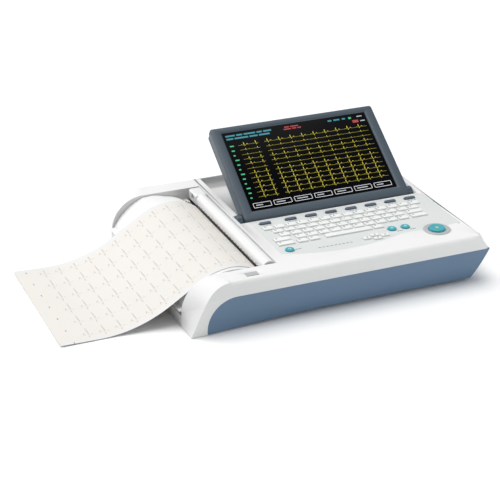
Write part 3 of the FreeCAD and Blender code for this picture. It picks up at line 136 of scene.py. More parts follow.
surface, ins, outs = new_group(
    "surface_grain",
    {"Colour": (0.8, 0.8, 0.8, 1.0), "Grain": 1200.0, "Patches": 16.0, "Mottle": 0.05, "Roughness": 0.45,
     "Uneven": 0.12, "Depth": 0.12, "Stretch": 1.0},
    {"Colour": "Color", "Roughness": "Float", "Normal": "Vector"})
join = surface.links.new
where = surface.nodes.new("ShaderNodeTexCoord").outputs["Object"]
squeeze = surface.nodes.new("ShaderNodeCombineXYZ")
join(ins["Stretch"], squeeze.inputs["Y"])
for axis in "XZ":
    squeeze.inputs[axis].default_value = 1
stretched = surface.nodes.new("ShaderNodeVectorMath")
stretched.operation = "MULTIPLY"
join(where, stretched.inputs[0])
join(squeeze.outputs[0], stretched.inputs[1])
slow = surface.nodes.new("ShaderNodeTexNoise")
slow.inputs["Detail"].default_value = 5
join(where, slow.inputs["Vector"])
join(ins["Patches"], slow.inputs["Scale"])
fine = surface.nodes.new("ShaderNodeTexNoise")
fine.inputs["Detail"].default_value = 3
join(stretched.outputs[0], fine.inputs["Vector"])
join(ins["Grain"], fine.inputs["Scale"])
sway = math_node(surface, "SUBTRACT", slow.outputs["Fac"], 0.5)
speck = math_node(surface, "SUBTRACT", fine.outputs["Fac"], 0.5)
both = math_node(surface, "MULTIPLY_ADD", speck, 0.5, sway)
tone = math_node(surface, "MULTIPLY_ADD", both, math_node(surface, "MULTIPLY", ins["Mottle"], 2.0), 1.0)
tint = surface.nodes.new("ShaderNodeHueSaturation")
join(ins["Colour"], tint.inputs["Color"])
join(tone, tint.inputs["Value"])
join(tint.outputs["Color"], outs["Colour"])
join(math_node(surface, "MULTIPLY_ADD", both, ins["Uneven"], ins["Roughness"]), outs["Roughness"])
relief = surface.nodes.new("ShaderNodeBump")
relief.inputs["Distance"].default_value = 0.0003
join(ins["Depth"], relief.inputs["Strength"])
join(fine.outputs["Fac"], relief.inputs["Height"])
join(relief.outputs["Normal"], outs["Normal"])


def place_group(tree, group, **values):
    """Put a shader group into a material with values for its named inputs."""
    node = tree.nodes.new("ShaderNodeGroup")
    node.node_tree = group
    for label, value in values.items():
        node.inputs[label].default_value = value
    return node


def grained(name, colour, **values):
    """A material with the surface grain's gloss; returns it, its tree, its shader and the grain's outputs."""
    material = bpy.data.materials.new(name)
    material.use_nodes = True
    tree = material.node_tree
    shader = tree.nodes["Principled BSDF"].inputs
    grain = place_group(tree, surface, Colour=(*colour, 1), **values).outputs
    tree.links.new(grain["Roughness"], shader["Roughness"])
    return material, tree, shader, grain


def coated(name, colour, metallic=0.0, **values):
    """A material whose colour, gloss and relief come from the surface grain."""
    material, tree, shader, grain = grained(name, colour, **values)
    tree.links.new(grain["Colour"], shader["Base Color"])
    tree.links.new(grain["Normal"], shader["Normal"])
    shader["Metallic"].default_value = metallic
    return material


table_reach = 7
table_mesh = bpy.data.meshes.new("table_top")
table_mesh.from_pydata([(-table_reach, -table_reach, 0), (table_reach, -table_reach, 0),
                        (table_reach, table_reach, 0), (-table_reach, table_reach, 0)], [], [(0, 1, 2, 3)])
table_mesh.materials.append(coated("table_top", (0.93, 0.93, 0.925), Roughness=0.6, Mottle=0.01, Grain=300.0))
table_top = bpy.data.objects.new("table_top", table_mesh)
scene.collection.objects.link(table_top)

# Tub, battery door and feet. The machine's lower half is a blue moulding that tucks in towards the table,
# with a door of the same plastic in its floor and black rubber feet pressed into it. The edges of the
# mouldings are softly rounded.


def paint(material, *names):
    """Give CAD pieces a material."""
    for name in names:
        nodes[name].data.materials.clear()
        nodes[name].data.materials.append(material)


def soften(name, width, segments=3):
    """Round the sharp edges of a CAD piece by a width in millimetres."""
    piece = nodes[name]
    weld = piece.modifiers.new("weld", "WELD")
    weld.merge_threshold = 1e-6
    bevel = piece.modifiers.new("edges", "BEVEL")
    bevel.width = width / 1000
    bevel.segments = segments
    bevel.limit_method = "ANGLE"
    bevel.angle_limit = math.radians(40)
    bevel.miter_outer = "MITER_ARC"
    shade = piece.modifiers.new("shade", "WEIGHTED_NORMAL")
    shade.keep_sharp = True


blue = coated("blue_casing", (0.112, 0.188, 0.290), Roughness=0.36, Mottle=0.06, Grain=1500.0, Depth=0.16)
paint(blue, "lower_casing", "battery_door")
soften("lower_casing", 1.0)
soften("battery_door", 0.15, 2)
rubber = coated("black_rubber", (0.022, 0.022, 0.024), Roughness=0.8, Mottle=0.15, Grain=700.0, Depth=0.35)
paint(rubber, "rubber_feet")
soften("rubber_feet", 1.0)

# Deck. The white upper moulding with two arms that turn down beside the recorder, screwed to the tub from
# below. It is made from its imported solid, with the long straight edges of the rim rounded off towards the
# skirt; the arms keep their crisp edges.


def make(name, shape, material, body, replaced=(), sharp=35):
    """Turn a mesh under construction into a piece that rides on a body."""
    bmesh.ops.recalc_face_normals(shape, faces=shape.faces)
    mesh = bpy.data.meshes.new(name)
    shape.to_mesh(mesh)
    shape.free()
    mesh.materials.append(material)
    mesh.shade_smooth()
    mesh.set_sharp_from_angle(angle=math.radians(sharp))
    piece = bpy.data.objects.new(name, mesh)
    scene.collection.objects.link(piece)
    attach(piece, body)
    if replaced:
        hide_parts(*replaced)
    return piece


white = coated("white_casing", (0.77, 0.77, 0.76), Roughness=0.42, Mottle=0.02, Grain=1500.0, Depth=0.10)
rim_round, shortest_edge = 0.0045, 0.06
rim_front, rim_rear, rim_right, parting_line = 0.008, 0.3195, 0.402, 0.047
level_face, steep_face = 0.9, 0.7
deck = bmesh.new()
deck.from_mesh(nodes["upper_casing"].data)
bmesh.ops.remove_doubles(deck, verts=deck.verts, dist=2e-6)
bmesh.ops.recalc_face_normals(deck, faces=deck.faces)
rim_edges = []
for edge in deck.edges:
    middle = (edge.verts[0].co + edge.verts[1].co) / 2 - front_left
    on_rim = middle.y < rim_front or middle.y > rim_rear or middle.x > rim_right
    if not on_rim or middle.z < parting_line or edge.calc_length() < shortest_edge or not edge.is_convex:
        continue
    steepest, flattest = sorted(face.normal.z for face in edge.link_faces)
    if flattest > level_face and abs(steepest) < steep_face:
        rim_edges.append(edge)
bmesh.ops.bevel(deck, geom=rim_edges, offset=rim_round, offset_type="OFFSET", segments=4, profile=0.5,
                affect="EDGES", clamp_overlap=False, loop_slide=True)
bmesh.ops.dissolve_degenerate(deck, dist=1e-6, edges=deck.edges)
casing = make("deck_casing", deck, white, "base", ["upper_casing"], sharp=30)
casing.modifiers.new("shade", "WEIGHTED_NORMAL").keep_sharp = True

# Covers over the side gaps of the display well. Two narrow white strips, level with the deck and clear of
# the hinge posts, that are clipped into the well's sides.


def skin(shape, rings, ring_closes=False):
    """Join rings of the same number of points into a closed skin."""
    loops = [[shape.verts.new(point) for point in ring] for ring in rings]
    pairs = list(zip(loops, loops[1:]))
    if ring_closes:
        pairs.append((loops[-1], loops[0]))
    for low, high in pairs:
        for index, corner in enumerate(low):
            after = (index + 1) % len(low)
            shape.faces.new((corner, low[after], high[after], high[index]))
    if not ring_closes:
        shape.faces.new(list(reversed(loops[0])))
        shape.faces.new(loops[-1])


def rectangle(left, near, right, far):
    """Corners of a level rectangle, from its left front corner round to the right."""
    return (left, near), (right, near), (right, far), (left, far)


cover_front, cover_rear = 183.5, 317.9
covers = bmesh.new()
for cover_left, cover_right in ((135.2, 142.3), (389.9, 397.0)):
    rings = []
    for inset, height in ((0, 61.6), (0, 63.6), (0.4, 63.95)):
        corners = rectangle(cover_left + inset, cover_front + inset, cover_right - inset, cover_rear - inset)
        rings.append([spot(x, y, height) for x, y in corners])
    skin(covers, rings)
make("well_side_covers", covers, white, "base")

# Pad on the well's floor. A white moulded rest that the folded display lies on, curved up behind it to the
# rear rim of the well. Its side view is drawn once and run across the well.
pad_left, pad_right = 135.3, 396.9
pad_section = [(309.5, 48.95), (311.0, 49.75), (312.0, 50.8), (313.5, 52.5), (315.0, 54.3), (316.4, 56.2),
               (316.9, 58.5), (317.3, 61.5), (317.6, 63.6), (318.0, 63.9), (318.0, 45.25), (192.0, 45.25),
               (192.0, 48.2), (192.8, 48.95)]
pad = bmesh.new()
skin(pad, [[spot(x, y, z) for y, z in pad_section] for x in (pad_left, pad_right)])
make("well_pad", pad, white, "base")

# Toe of the tub. At the left the blue front flares forward to the table and fades into the plain front
# towards the right. It is a thin trim over the tub that follows its leaning, bulging side.
flare_left, flare_length, flare_steps, flare_levels = 24.6, 170, 24, 8
flare_top, tub_floor, toe_drop, toe_front, trim_thick, trim_proud = 30, 4.0, 3.3, 0.4, 1.2, 0.15
tub_top, tub_tall, tub_tuck = 46, 42, 7
tub_bulge, bulge_middle, bulge_half = 1.69, 25, 21
flare = bmesh.new()
rings = []
for step in range(flare_steps + 1):
    x = flare_left + flare_length * step / flare_steps
    swell = (1 - step / flare_steps) ** 1.5
    outer, inner = [], []
    for flare_level in range(flare_levels + 1):
        share = flare_level / flare_levels
        z = flare_top - (flare_top - (tub_floor - toe_drop * swell)) * share
        bulge = tub_bulge * (1 - ((z - bulge_middle) / bulge_half) ** 2)
        front = tub_tuck * (tub_top - z) / tub_tall - bulge
        outer.append((x, front + trim_proud - swell * share ** 1.3 * (front - toe_front), z))
        inner.append((x, front + trim_thick, max(z, tub_floor + 0.05) if flare_level < flare_levels else z))
    rings.append([spot(*point) for point in outer + list(reversed(inner))])
skin(flare, rings)
make("tub_toe_flare", flare, blue, "base", sharp=50)

# Casing screws. Six steel screws in the floor of the tub, each with a turned rim and a six-sided recess,
# that hold the two halves of the casing together.


def circle(middle, radius, height, count=32):
    """Points of a level ring."""
    turns = [math.tau * index / count for index in range(count)]
    return [(middle[0] + radius * math.cos(turn), middle[1] + radius * math.sin(turn), height)
            for turn in turns]


steel = coated("brushed_steel", (0.52, 0.53, 0.54), 1.0, Roughness=0.32, Mottle=0.08, Grain=900.0, Depth=0.2,
               Stretch=0.05)
screw_seat, recess_radius, recess_depth = 4.1, 0.0012, 0.0003
screw_profile = ((0.0030, 0.0), (0.0032, 0.0004), (0.0028, 0.0009), (0.0016, 0.0010), (0.0015, 0.0003))
screws = bmesh.new()
for y in (22, 306):
    for x in (110, 250, 385):
        seat = spot(x, y, screw_seat)
        skin(screws, [circle(seat, recess_radius, seat.z - drop, 6) for drop in (0.0, recess_depth)])
        skin(screws, [circle(seat, radius, seat.z - drop) for radius, drop in screw_profile])
make("casing_screws", screws, steel, "base")

# Recorder mouldings. A white curved lid slides left with the platen roller on two runners; the half-round
# bar over the paper slot carries a toothed steel strip, and a grey button in the front arm frees the lid.
paint(white, "recorder_lid", "tear_bar", "paper_tray", "lid_runners")
soften("recorder_lid", 0.8)
soften("tear_bar", 0.8)
paint(steel, "tear_blade")
grey = coated("grey_moulding", (0.42, 0.43, 0.44), Roughness=0.45, Mottle=0.05, Grain=1300.0, Depth=0.14)
paint(grey, "lid_release")
soften("lid_release", 0.5)

# Crown of the lid. A smooth white rise under the sheet, moulded with the lid, from the slot over the crest
# to the lid's round front. Its side view is two arcs, and it falls away towards the rear.
crest_x, lid_base, lid_radius = 72.5, -9.1, 74.4
crown_left, crown_right, crown_steps, crown_proud = 34, 98, 16, 0.06
hump_radius, hump_base = 60.9, 4.4
rear_fall, fall_from, fall_run = 7.0, 258, 35
fade_from, fade_run, crown_low, crown_foot = 40, 40, 48.0, 48.5
section = []
for step in range(crown_steps + 1):
    x = crown_right - (crown_right - crest_x) * step / crown_steps
    section.append((x, hump_base + math.sqrt(hump_radius ** 2 - (x - crest_x) ** 2)))
for step in range(1, crown_steps + 1):
    x = crest_x - (crest_x - crown_left) * step / crown_steps
    section.append((x, lid_base + math.sqrt((lid_radius + crown_proud) ** 2 - (x - crest_x) ** 2)))
section += [(crown_left, 52.0), (49, 59.5), (crown_right, crown_foot)]
stations = [(34.75, 0.5), (35.3, 0), *((y, 0) for y in range(fall_from, 289, 6)), (292.7, 0), (293.2, 0.5)]
rings = []
for y, drop in stations:
    ring = []
    for x, z in section:
        toward_slot = min(1.0, max(0.0, (x - fade_from) / fade_run)) ** 1.5
        fall = rear_fall * max(0.0, (y - fall_from) / fall_run) ** 1.4 * toward_slot
        ring.append(spot(x, y, max(z - fall, crown_low if z > crown_foot else z) - drop))
    rings.append(ring)
crown = bmesh.new()
skin(crown, rings)
make("lid_crown", crown, white, "lid", sharp=40)

# End of the bar. A thin half-round plate that closes the bar's front end, pressed on to it with a small
# chamfer
# all round. It is grey as painted shade: it darkens the bar's front face as if that face lay in shadow.
bar_low, bar_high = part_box("tear_bar")
cap_x, cap_z, cap_radius, cap_skirt = (bar_low.x + bar_high.x) / 2, bar_high.z - 0.0086, 0.0074, 0.004


def bar_ring(y, scale):
    """A half-round ring across the bar."""
    radius = cap_radius * scale
    turns = [math.pi * index / 16 for index in range(17)]
    ring = [(cap_x + radius * math.cos(turn), y, cap_z + radius * math.sin(turn)) for turn in turns]
    return ring + [(cap_x - radius, y, cap_z - cap_skirt), (cap_x + radius, y, cap_z - cap_skirt)]


end_shade_plate = bmesh.new()
skin(end_shade_plate, [bar_ring(bar_low.y + 0.0002, 1.0), bar_ring(bar_low.y - 0.0007, 1.0),
               bar_ring(bar_low.y - 0.0012, 0.9)])
# The grey of this plate is painted shade on the bar's front face, not a grey part.
make("bar_end_painted_shade", end_shade_plate, grey, "base")

# Sheet of chart paper. Thin coated paper comes up through the slot, lies over the lid's crown, falls to the
# table and slides out along it, with a free end that curls a little. Its print is laid out in millimetres.
sheet_width, sheet_thick, across = 216.0, 0.12, 24
slot_x, free_end_x, table_gap = 111, -151, 0.75
ride_radius, sheet_hump, bend_radius = 74.95, 61.45, 175
leave = math.radians(32.6)
hump_steps, lid_steps, slope_steps, bend_steps, flat_steps = 12, 12, 10, 14, 12


def sheet_path():
    """Side view of the sheet in millimetres: out of the slot, over the crest and down to the table."""
    points = []
    for step in range(hump_steps + 1):
        x = slot_x + (crest_x - slot_x) * step / hump_steps
        rise = math.sqrt(sheet_hump ** 2 - (x - crest_x) ** 2)
        points.append((x, lid_base + ride_radius - sheet_hump + rise))
    for step in range(1, lid_steps + 1):
        angle = leave * step / lid_steps
        points.append((crest_x - ride_radius * math.sin(angle), lid_base + ride_radius * math.cos(angle)))
    leave_x, leave_z = points[-1]
    fall = leave_z - table_gap - bend_radius * (1 - math.cos(leave))
    bend_x, bend_z = leave_x - fall / math.tan(leave), leave_z - fall
    for step in range(1, slope_steps + 1):
        points.append((leave_x + (bend_x - leave_x) * step / slope_steps,
                       leave_z + (bend_z - leave_z) * step / slope_steps))
    for step in range(1, bend_steps + 1):
        angle = leave * (1 - step / bend_steps)
        points.append((bend_x - bend_radius * (math.sin(leave) - math.sin(angle)),
                       table_gap + bend_radius * (1 - math.cos(angle))))
    flat_x = points[-1][0]
    for step in range(1, flat_steps + 1):
        points.append((flat_x + (free_end_x - flat_x) * step / flat_steps, table_gap))
    return points


def lay_out(shape, flat_place):
    """Store where each corner lies on the flat piece, in millimetres, for the pattern on it."""
    layer = shape.loops.layers.uv.new("millimetres")
    for face in shape.faces:
        for corner in face.loops:
            corner[layer].uv = flat_place(corner.vert)


path = sheet_path()
lengths = [0.0]
for (x0, z0), (x1, z1) in zip(path, path[1:]):
    lengths.append(lengths[-1] + math.hypot(x1 - x0, z1 - z0))
sheet_length = lengths[-1]
flat_from, loose_from = lengths[-1 - flat_steps], 170
end_skew, ripple_high, ripple_long, curl_high = 4, 0.35, 17, 1.4
sheet_front = (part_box("recorder_paper")[0].y - front_left.y) * 1000
sheet = bmesh.new()
layers = []
print_place = {}
for lift in (0.0, sheet_thick):
    grid = []
    for (x, z), along in zip(path, lengths):
        skew = end_skew * max(0.0, (along - flat_from) / (sheet_length - flat_from))
        loose = max(0.0, (along - loose_from) / (sheet_length - loose_from))
        line = []
        for index in range(across + 1):
            share = index / across
            ripple = ripple_high * loose * (1 + math.sin(along / ripple_long + 5 * share))
            curl = curl_high * loose ** 6 * (2 * share - 1) ** 4
            place = spot(x + skew * share, sheet_front + sheet_width * share, z + lift + (ripple + curl))
            vertex = sheet.verts.new(place)
            print_place[vertex] = (sheet_width * share, along - skew * share)
            line.append(vertex)
        grid.append(line)
    layers.append(grid)
for grid, flip in zip(layers, (True, False)):
    for first, second in zip(grid, grid[1:]):
        for index in range(across):
            corners = [first[index], second[index], second[index + 1], first[index + 1]]
            sheet.faces.new(corners if flip else list(reversed(corners)))
rims = [grid[0] + [line[-1] for line in grid[1:]] + grid[-1][-2::-1]
        + [line[0] for line in reversed(grid[1:-1])] for grid in layers]
for index, (low, high) in enumerate(zip(*rims)):
    after = (index + 1) % len(rims[0])
    sheet.faces.new((low, rims[0][after], rims[1][after], high))
lay_out(sheet, print_place.get)

# Heart trace. One beat as a curve, repeated along rows, which the printer draws on the paper and the
# display on its screen. The group puts out a mask that is 1 on the drawn line.
trace, ins, outs = new_group(
    "heart_trace", {"Along": 0.0, "Across": 0.0, "Beat": 20.0, "Pitch": 18.0, "Height": 8.0, "Line": 0.5},
    {"Mask": "Float"})
base_line = 0.4
beat_curve = ((0.12, 0.5), (0.17, 0.57), (0.22, 0.5), (0.30, 0.5), (0.33, 0.44), (0.37, 1.0), (0.41, 0.30),
              (0.44, 0.5), (0.56, 0.5), (0.64, 0.66), (0.71, 0.5))


def beat(shift):
    """Height of the beat a little before or after a place along the row, from -1 to 1."""
    moved = math_node(trace, "MULTIPLY_ADD", ins["Line"], shift, ins["Along"])
    phase = math_node(trace, "FRACT", math_node(trace, "DIVIDE", moved, ins["Beat"]))
    curve = trace.nodes.new("ShaderNodeFloatCurve")
    drawing = curve.mapping.curves[0]
    drawing.points[0].location = (0, 0.5)
    drawing.points[1].location = (1, 0.5)
    for x, y in beat_curve:
        drawing.points.new(x, y)
    for point in drawing.points:
        point.handle_type = "VECTOR"
    curve.mapping.update()
    trace.links.new(phase, curve.inputs["Value"])
    return math_node(trace, "MULTIPLY_ADD", curve.outputs[0], 2.0, -1.0)


def between(tree, value, low, high):
    """1 where a value lies between two limits."""
    return math_node(tree, "MULTIPLY", math_node(tree, "GREATER_THAN", value, low),
                     math_node(tree, "LESS_THAN", value, high))


before, now, later = (beat(shift) for shift in (-0.5, 0.0, 0.5))
lowest = math_node(trace, "MINIMUM", math_node(trace, "MINIMUM", before, now), later)
highest = math_node(trace, "MAXIMUM", math_node(trace, "MAXIMUM", before, now), later)
row_share = math_node(trace, "FRACT", math_node(trace, "DIVIDE", ins["Across"], ins["Pitch"]))
up = math_node(trace, "MULTIPLY", math_node(trace, "SUBTRACT", row_share, base_line), ins["Pitch"])
half_line = math_node(trace, "MULTIPLY", ins["Line"], 0.5)
under_line = math_node(trace, "SUBTRACT", math_node(trace, "MULTIPLY", lowest, ins["Height"]), half_line)
over_line = math_node(trace, "ADD", math_node(trace, "MULTIPLY", highest, ins["Height"]), half_line)
trace.links.new(between(trace, up, under_line, over_line), outs["Mask"])

# Print on the paper. White coated stock with an ochre ruling of 5 mm squares and 1 mm dots inside a bare
# margin, dark traces in rows along the sheet, and a line of short marks near its free end.


def mixed(tree, share, first, second):
    """Blend of two colours, each a tuple or another node's output."""
    node = tree.nodes.new("ShaderNodeMix")
    node.data_type = "RGBA"
    factor, colour_a, colour_b = node.inputs[0], node.inputs[6], node.inputs[7]
    for socket, entry in ((factor, share), (colour_a, first), (colour_b, second)):
        if isinstance(entry, tuple):
            socket.default_value = (*entry, 1)
        else:
            tree.links.new(entry, socket)
    return node.outputs[2]


def flat_axes(tree):
    """The two places in millimetres that lay_out has stored."""
    stored = tree.nodes.new("ShaderNodeUVMap")
    stored.uv_map = "millimetres"
    split = tree.nodes.new("ShaderNodeSeparateXYZ")
    tree.links.new(stored.outputs["UV"], split.inputs["Vector"])
    return split.outputs["X"], split.outputs["Y"]


def ruled(tree, value, pitch, thick):
    """1 on evenly spaced lines."""
    return math_node(tree, "LESS_THAN", math_node(tree, "FRACT", math_node(tree, "DIVIDE", value, pitch)),
                     thick / pitch)


def off_base(tree, rows, reach):
    """1 where a trace stands away from the base line of its row."""
    share = math_node(tree, "SUBTRACT", math_node(tree, "FRACT", rows), base_line)
    return math_node(tree, "GREATER_THAN", math_node(tree, "ABSOLUTE", share), reach)


paper, tree, shader, grain = grained("chart_paper", (0.685, 0.685, 0.68), Roughness=0.55, Mottle=0.025,
                                     Grain=2500.0, Depth=0.05)
ochre, trace_ink, mark_ink = (0.84, 0.58, 0.22), (0.16, 0.15, 0.15), (0.08, 0.08, 0.09)
square, square_line, dot_pitch, dot_size, ruling_strength = 5.0, 0.35, 1.0, 0.4, 0.42
trace_pitch, mark_pitch, mark_share = 36.0, 34.0, 0.13
traces_end, marks_low, marks_high = sheet_length - 26, sheet_length - 19, sheet_length - 17.5
wide, along = flat_axes(tree)
squares = math_node(tree, "MAXIMUM", *(ruled(tree, axis, square, square_line) for axis in (wide, along)))
dots = math_node(tree, "MULTIPLY", *(ruled(tree, axis, dot_pitch, dot_size) for axis in (wide, along)))
ruling = math_node(tree, "MULTIPLY", math_node(tree, "MAXIMUM", squares, dots), ruling_strength)
ruling = math_node(tree, "MULTIPLY", ruling, between(tree, wide, 6.0, 210.0))
colour = mixed(tree, ruling, grain["Colour"], ochre)
drawn = place_group(tree, trace, Beat=21.0, Pitch=trace_pitch, Height=22.0, Line=0.6)
tree.links.new(wide, drawn.inputs["Across"])
tree.links.new(along, drawn.inputs["Along"])
field = math_node(tree, "MULTIPLY", between(tree, wide, 9.0, 207.0), between(tree, along, 0.0, traces_end))
printed = math_node(tree, "MULTIPLY", drawn.outputs["Mask"], field)
peaks = off_base(tree, math_node(tree, "DIVIDE", wide, trace_pitch), 0.05)
printed = math_node(tree, "MULTIPLY", printed, math_node(tree, "MULTIPLY_ADD", peaks, 0.32, 0.10))
colour = mixed(tree, printed, colour, trace_ink)
marks = math_node(tree, "MULTIPLY", between(tree, along, marks_low, marks_high),
                  ruled(tree, wide, mark_pitch, mark_pitch * mark_share))
colour = mixed(tree, math_node(tree, "MULTIPLY", marks, 0.6), colour, mark_ink)
tree.links.new(colour, shader["Base Color"])
tree.links.new(grain["Normal"], shader["Normal"])
chart = make("chart_sheet", sheet, paper, "lid", ["recorder_paper"], sharp=60)
paint(coated("folded_paper", (0.84, 0.81, 0.74), Roughness=0.6, Mottle=0.04, Grain=2500.0), "paper_pack")

# Print unit, inside the machine. A rubber platen on a steel shaft, its gear train and motor, and a
# ceramic print head on a finned aluminium carrier that leaf springs press against the roller.
bronze = coated("turned_bronze", (0.60, 0.40, 0.16), 1.0, Roughness=0.34, Mottle=0.1, Grain=900.0,
                Stretch=0.1)
alloy = coated("drawn_aluminium", (0.66, 0.67, 0.68), 1.0, Roughness=0.38, Mottle=0.06, Grain=800.0,
               Stretch=0.02)
nylon = coated("gear_nylon", (0.74, 0.73, 0.66), Roughness=0.5, Mottle=0.05, Grain=1100.0)
ceramic = coated("print_ceramic", (0.66, 0.63, 0.58), Roughness=0.3, Mottle=0.05, Grain=2000.0, Depth=0.05)
paint(rubber, "platen_roller")
paint(steel, "platen_shaft", "printer_frame", "head_springs", "feed_motor")
paint(bronze, "platen_bushes")
paint(nylon, "platen_gear", "motor_pinion")
paint(ceramic, "print_head")
paint(alloy, "head_carrier")

# Display housing. A blue-grey moulded frame and rear cover, snapped together round the screen, on two hinge
# posts in the deck's well; it tilts about steel pins near its lower edge. Places on it are given across,
# up the face and out of the face.
shell = coated("display_shell", (0.050, 0.073, 0.097), Roughness=0.38, Mottle=0.05, Grain=1500.0, Depth=0.12)
paint(shell, "display_back", "hinge_posts")
soften("display_back", 1.0)
soften("hinge_posts", 0.6)
paint(steel, "hinge_pins")
tilt = math.radians(34)
pivot = spot(266.1, 173.583, 60.354)
up_face = Vector((0, math.cos(tilt), math.sin(tilt)))
out_face = Vector((0, -math.sin(tilt), math.cos(tilt)))
face_wide, face_tall, face_middle = 245.6, 150.6, 67.3
open_wide, open_tall, open_middle = 216.6, 127.6, 69.3
frame_back, frame_front, edge_round, corner_round, corner_loss = 3.0, 11, 2.2, 3.6, 1.2
opening_lip = ((2.6, 11.0, 2.4), (1.2, 10.75, 1.6), (0.2, 9.9, 0.9), (0, 9.45, 0.8), (3, 9.42, 1.5))


def on_face(x, v, w):
    """A place in millimetres from the display's pivot."""
    return pivot + (Vector((1, 0, 0)) * x + up_face * v + out_face * w) / 1000


def rounded_ring(wide, deep, radius, steps=7):
    """Points of a rounded rectangle about the origin."""
    ring = []
    for quarter, (i, j) in enumerate(((1, 1), (-1, 1), (-1, -1), (1, -1))):
        for step in range(steps + 1):
            angle = math.pi / 2 * (quarter + step / steps)
            ring.append((i * (wide / 2 - radius) + radius * math.cos(angle),
                         j * (deep / 2 - radius) + radius * math.sin(angle)))
    return ring


def frame_ring(inset, w, radius):
    """A ring inside the outline of the display's face, at a height out of the face."""
    return [on_face(x, face_middle + v, w)
            for x, v in rounded_ring(face_wide - 2 * inset, face_tall - 2 * inset, radius)]


def opening_ring(grow, w, radius):
    """A ring round the opening for the screen, at a height out of the face."""
    return [on_face(x, open_middle + v, w)
            for x, v in rounded_ring(open_wide + 2 * grow, open_tall + 2 * grow, radius)]


rings = [frame_ring(0, frame_back, corner_round)]
for step in range(6):
    turn = math.pi / 2 * step / 5
    lost = 1 - math.cos(turn)
    rings.append(frame_ring(edge_round * lost, frame_front - edge_round * (1 - math.sin(turn)),
                            corner_round - corner_loss * lost))
rings += [opening_ring(*lip) for lip in opening_lip]
rings += [frame_ring(2.5, w, 2.0) for w in (9.4, frame_back)]
bezel = bmesh.new()
skin(bezel, rings, ring_closes=True)
make("display_frame", bezel, shell, "display", ["display_bezel"], sharp=30)

# Screen. Dark glass in front of a liquid crystal panel, held by the frame's lip. It is lit in twelve rows
# of yellow heart traces, each with its own height, with a gap where the sweep has passed.
dark = coated("dark_moulding", (0.030, 0.032, 0.036), Roughness=0.5, Mottle=0.12, Grain=1200.0, Depth=0.2)
paint(dark, "lcd_panel")
glass, tree, shader, grain = grained("screen_glass", (0.0022, 0.0024, 0.003), Roughness=0.32, Mottle=0.2,
                                     Grain=4000.0, Depth=0.03)
row_pitch, rows_low, rows_high = 7.7, 17.0, 109.4
beat_heights = (5.0, 6.0, 6.6, 6.0, 5.0, 4.4, 1.6, 3.6, 4.0, 1.4, 2.0, 5.2)
ramp_full, sweep_left, sweep_right, trace_start = 10.0, (17.0, 47.0), (56.0, 212.0), 2.0
wide, high = flat_axes(tree)
above_rows = math_node(tree, "SUBTRACT", high, rows_low)
row = math_node(tree, "DIVIDE", above_rows, row_pitch)
row_heights = tree.nodes.new("ShaderNodeValToRGB")
stops = row_heights.color_ramp.elements
row_heights.color_ramp.interpolation = "CONSTANT"
for index, height in enumerate(beat_heights):
    stop = stops[0] if index == 0 else stops.new(index / len(beat_heights))
    stop.color = (height / ramp_full, height / ramp_full, height / ramp_full, 1)
stops.remove(stops[-1])
tree.links.new(math_node(tree, "DIVIDE", row, len(beat_heights)), row_heights.inputs["Fac"])
drawn = place_group(tree, trace, Beat=17.4, Pitch=row_pitch, Line=0.45)
tree.links.new(math_node(tree, "SUBTRACT", wide, trace_start), drawn.inputs["Along"])
tree.links.new(above_rows, drawn.inputs["Across"])
tree.links.new(math_node(tree, "MULTIPLY", row_heights.outputs["Color"], ramp_full), drawn.inputs["Height"])
swept = math_node(tree, "ADD", between(tree, wide, *sweep_left), between(tree, wide, *sweep_right))
field = math_node(tree, "MULTIPLY", swept, between(tree, high, rows_low, rows_high))
lit = math_node(tree, "MULTIPLY", drawn.outputs["Mask"], field)
lit = math_node(tree, "MULTIPLY", lit, math_node(tree, "MULTIPLY_ADD", off_base(tree, row, 0.09), 0.55, 0.45))
tree.links.new(mixed(tree, lit, grain["Colour"], (0.30, 0.27, 0.04)), shader["Base Color"])
tree.links.new(mixed(tree, lit, (0, 0, 0), (0.62, 0.54, 0.06)), shader["Emission Color"])
tree.links.new(grain["Normal"], shader["Normal"])
shader["Emission Strength"].default_value = 0.7
shader["Specular IOR Level"].default_value = 0.03


def place_on_screen(vertex):
    """Where a corner lies from the screen's lower left corner, in millimetres."""
    local = (vertex.co - pivot) * 1000
    return local.x + open_wide / 2, local.dot(up_face) - open_middle + open_tall / 2


pane = bmesh.new()
skin(pane, [opening_ring(-0.15, 9.44, 0.7), opening_ring(-0.15, 9.7, 0.7), opening_ring(-0.35, 9.8, 0.6)])
lay_out(pane, place_on_screen)
make("screen_glass", pane, glass, "display", sharp=60)

# Lit marks on the screen. Plain bars, blocks and button outlines in teal, green, red, white and grey, each
# a thin bright patch on the glass, a little uneven like the lamp behind it.
patch_low, patch_high = 9.78, 9.88


def glow(name, colour, strength):
    """A lit colour on the screen."""
    material, tree, shader, grain = grained(name, colour, Mottle=0.15, Patches=220.0)
    tree.links.new(grain["Colour"], shader["Base Color"])
    tree.links.new(grain["Colour"], shader["Emission Color"])
    shader["Emission Strength"].default_value = strength
    return material


def patch(shape, left, low, wide, tall, hollow=0.0):
    """A thin lit patch, or an outline, in millimetres from the screen's lower left corner."""
    x, v = left + wide / 2 - open_wide / 2, low + tall / 2 + open_middle - open_tall / 2

    def ring(inset, w):
        radius = min(1.0, tall / 3) if hollow else 0.12
        return [on_face(x + i, v + j, w)
                for i, j in rounded_ring(wide - 2 * inset, tall - 2 * inset, max(radius - inset, 0.05), 3)]

    rings = [ring(0, patch_low), ring(0, patch_high)]
    if hollow:
        rings += [ring(hollow, patch_high), ring(hollow, patch_low)]
    skin(shape, rings, ring_closes=bool(hollow))


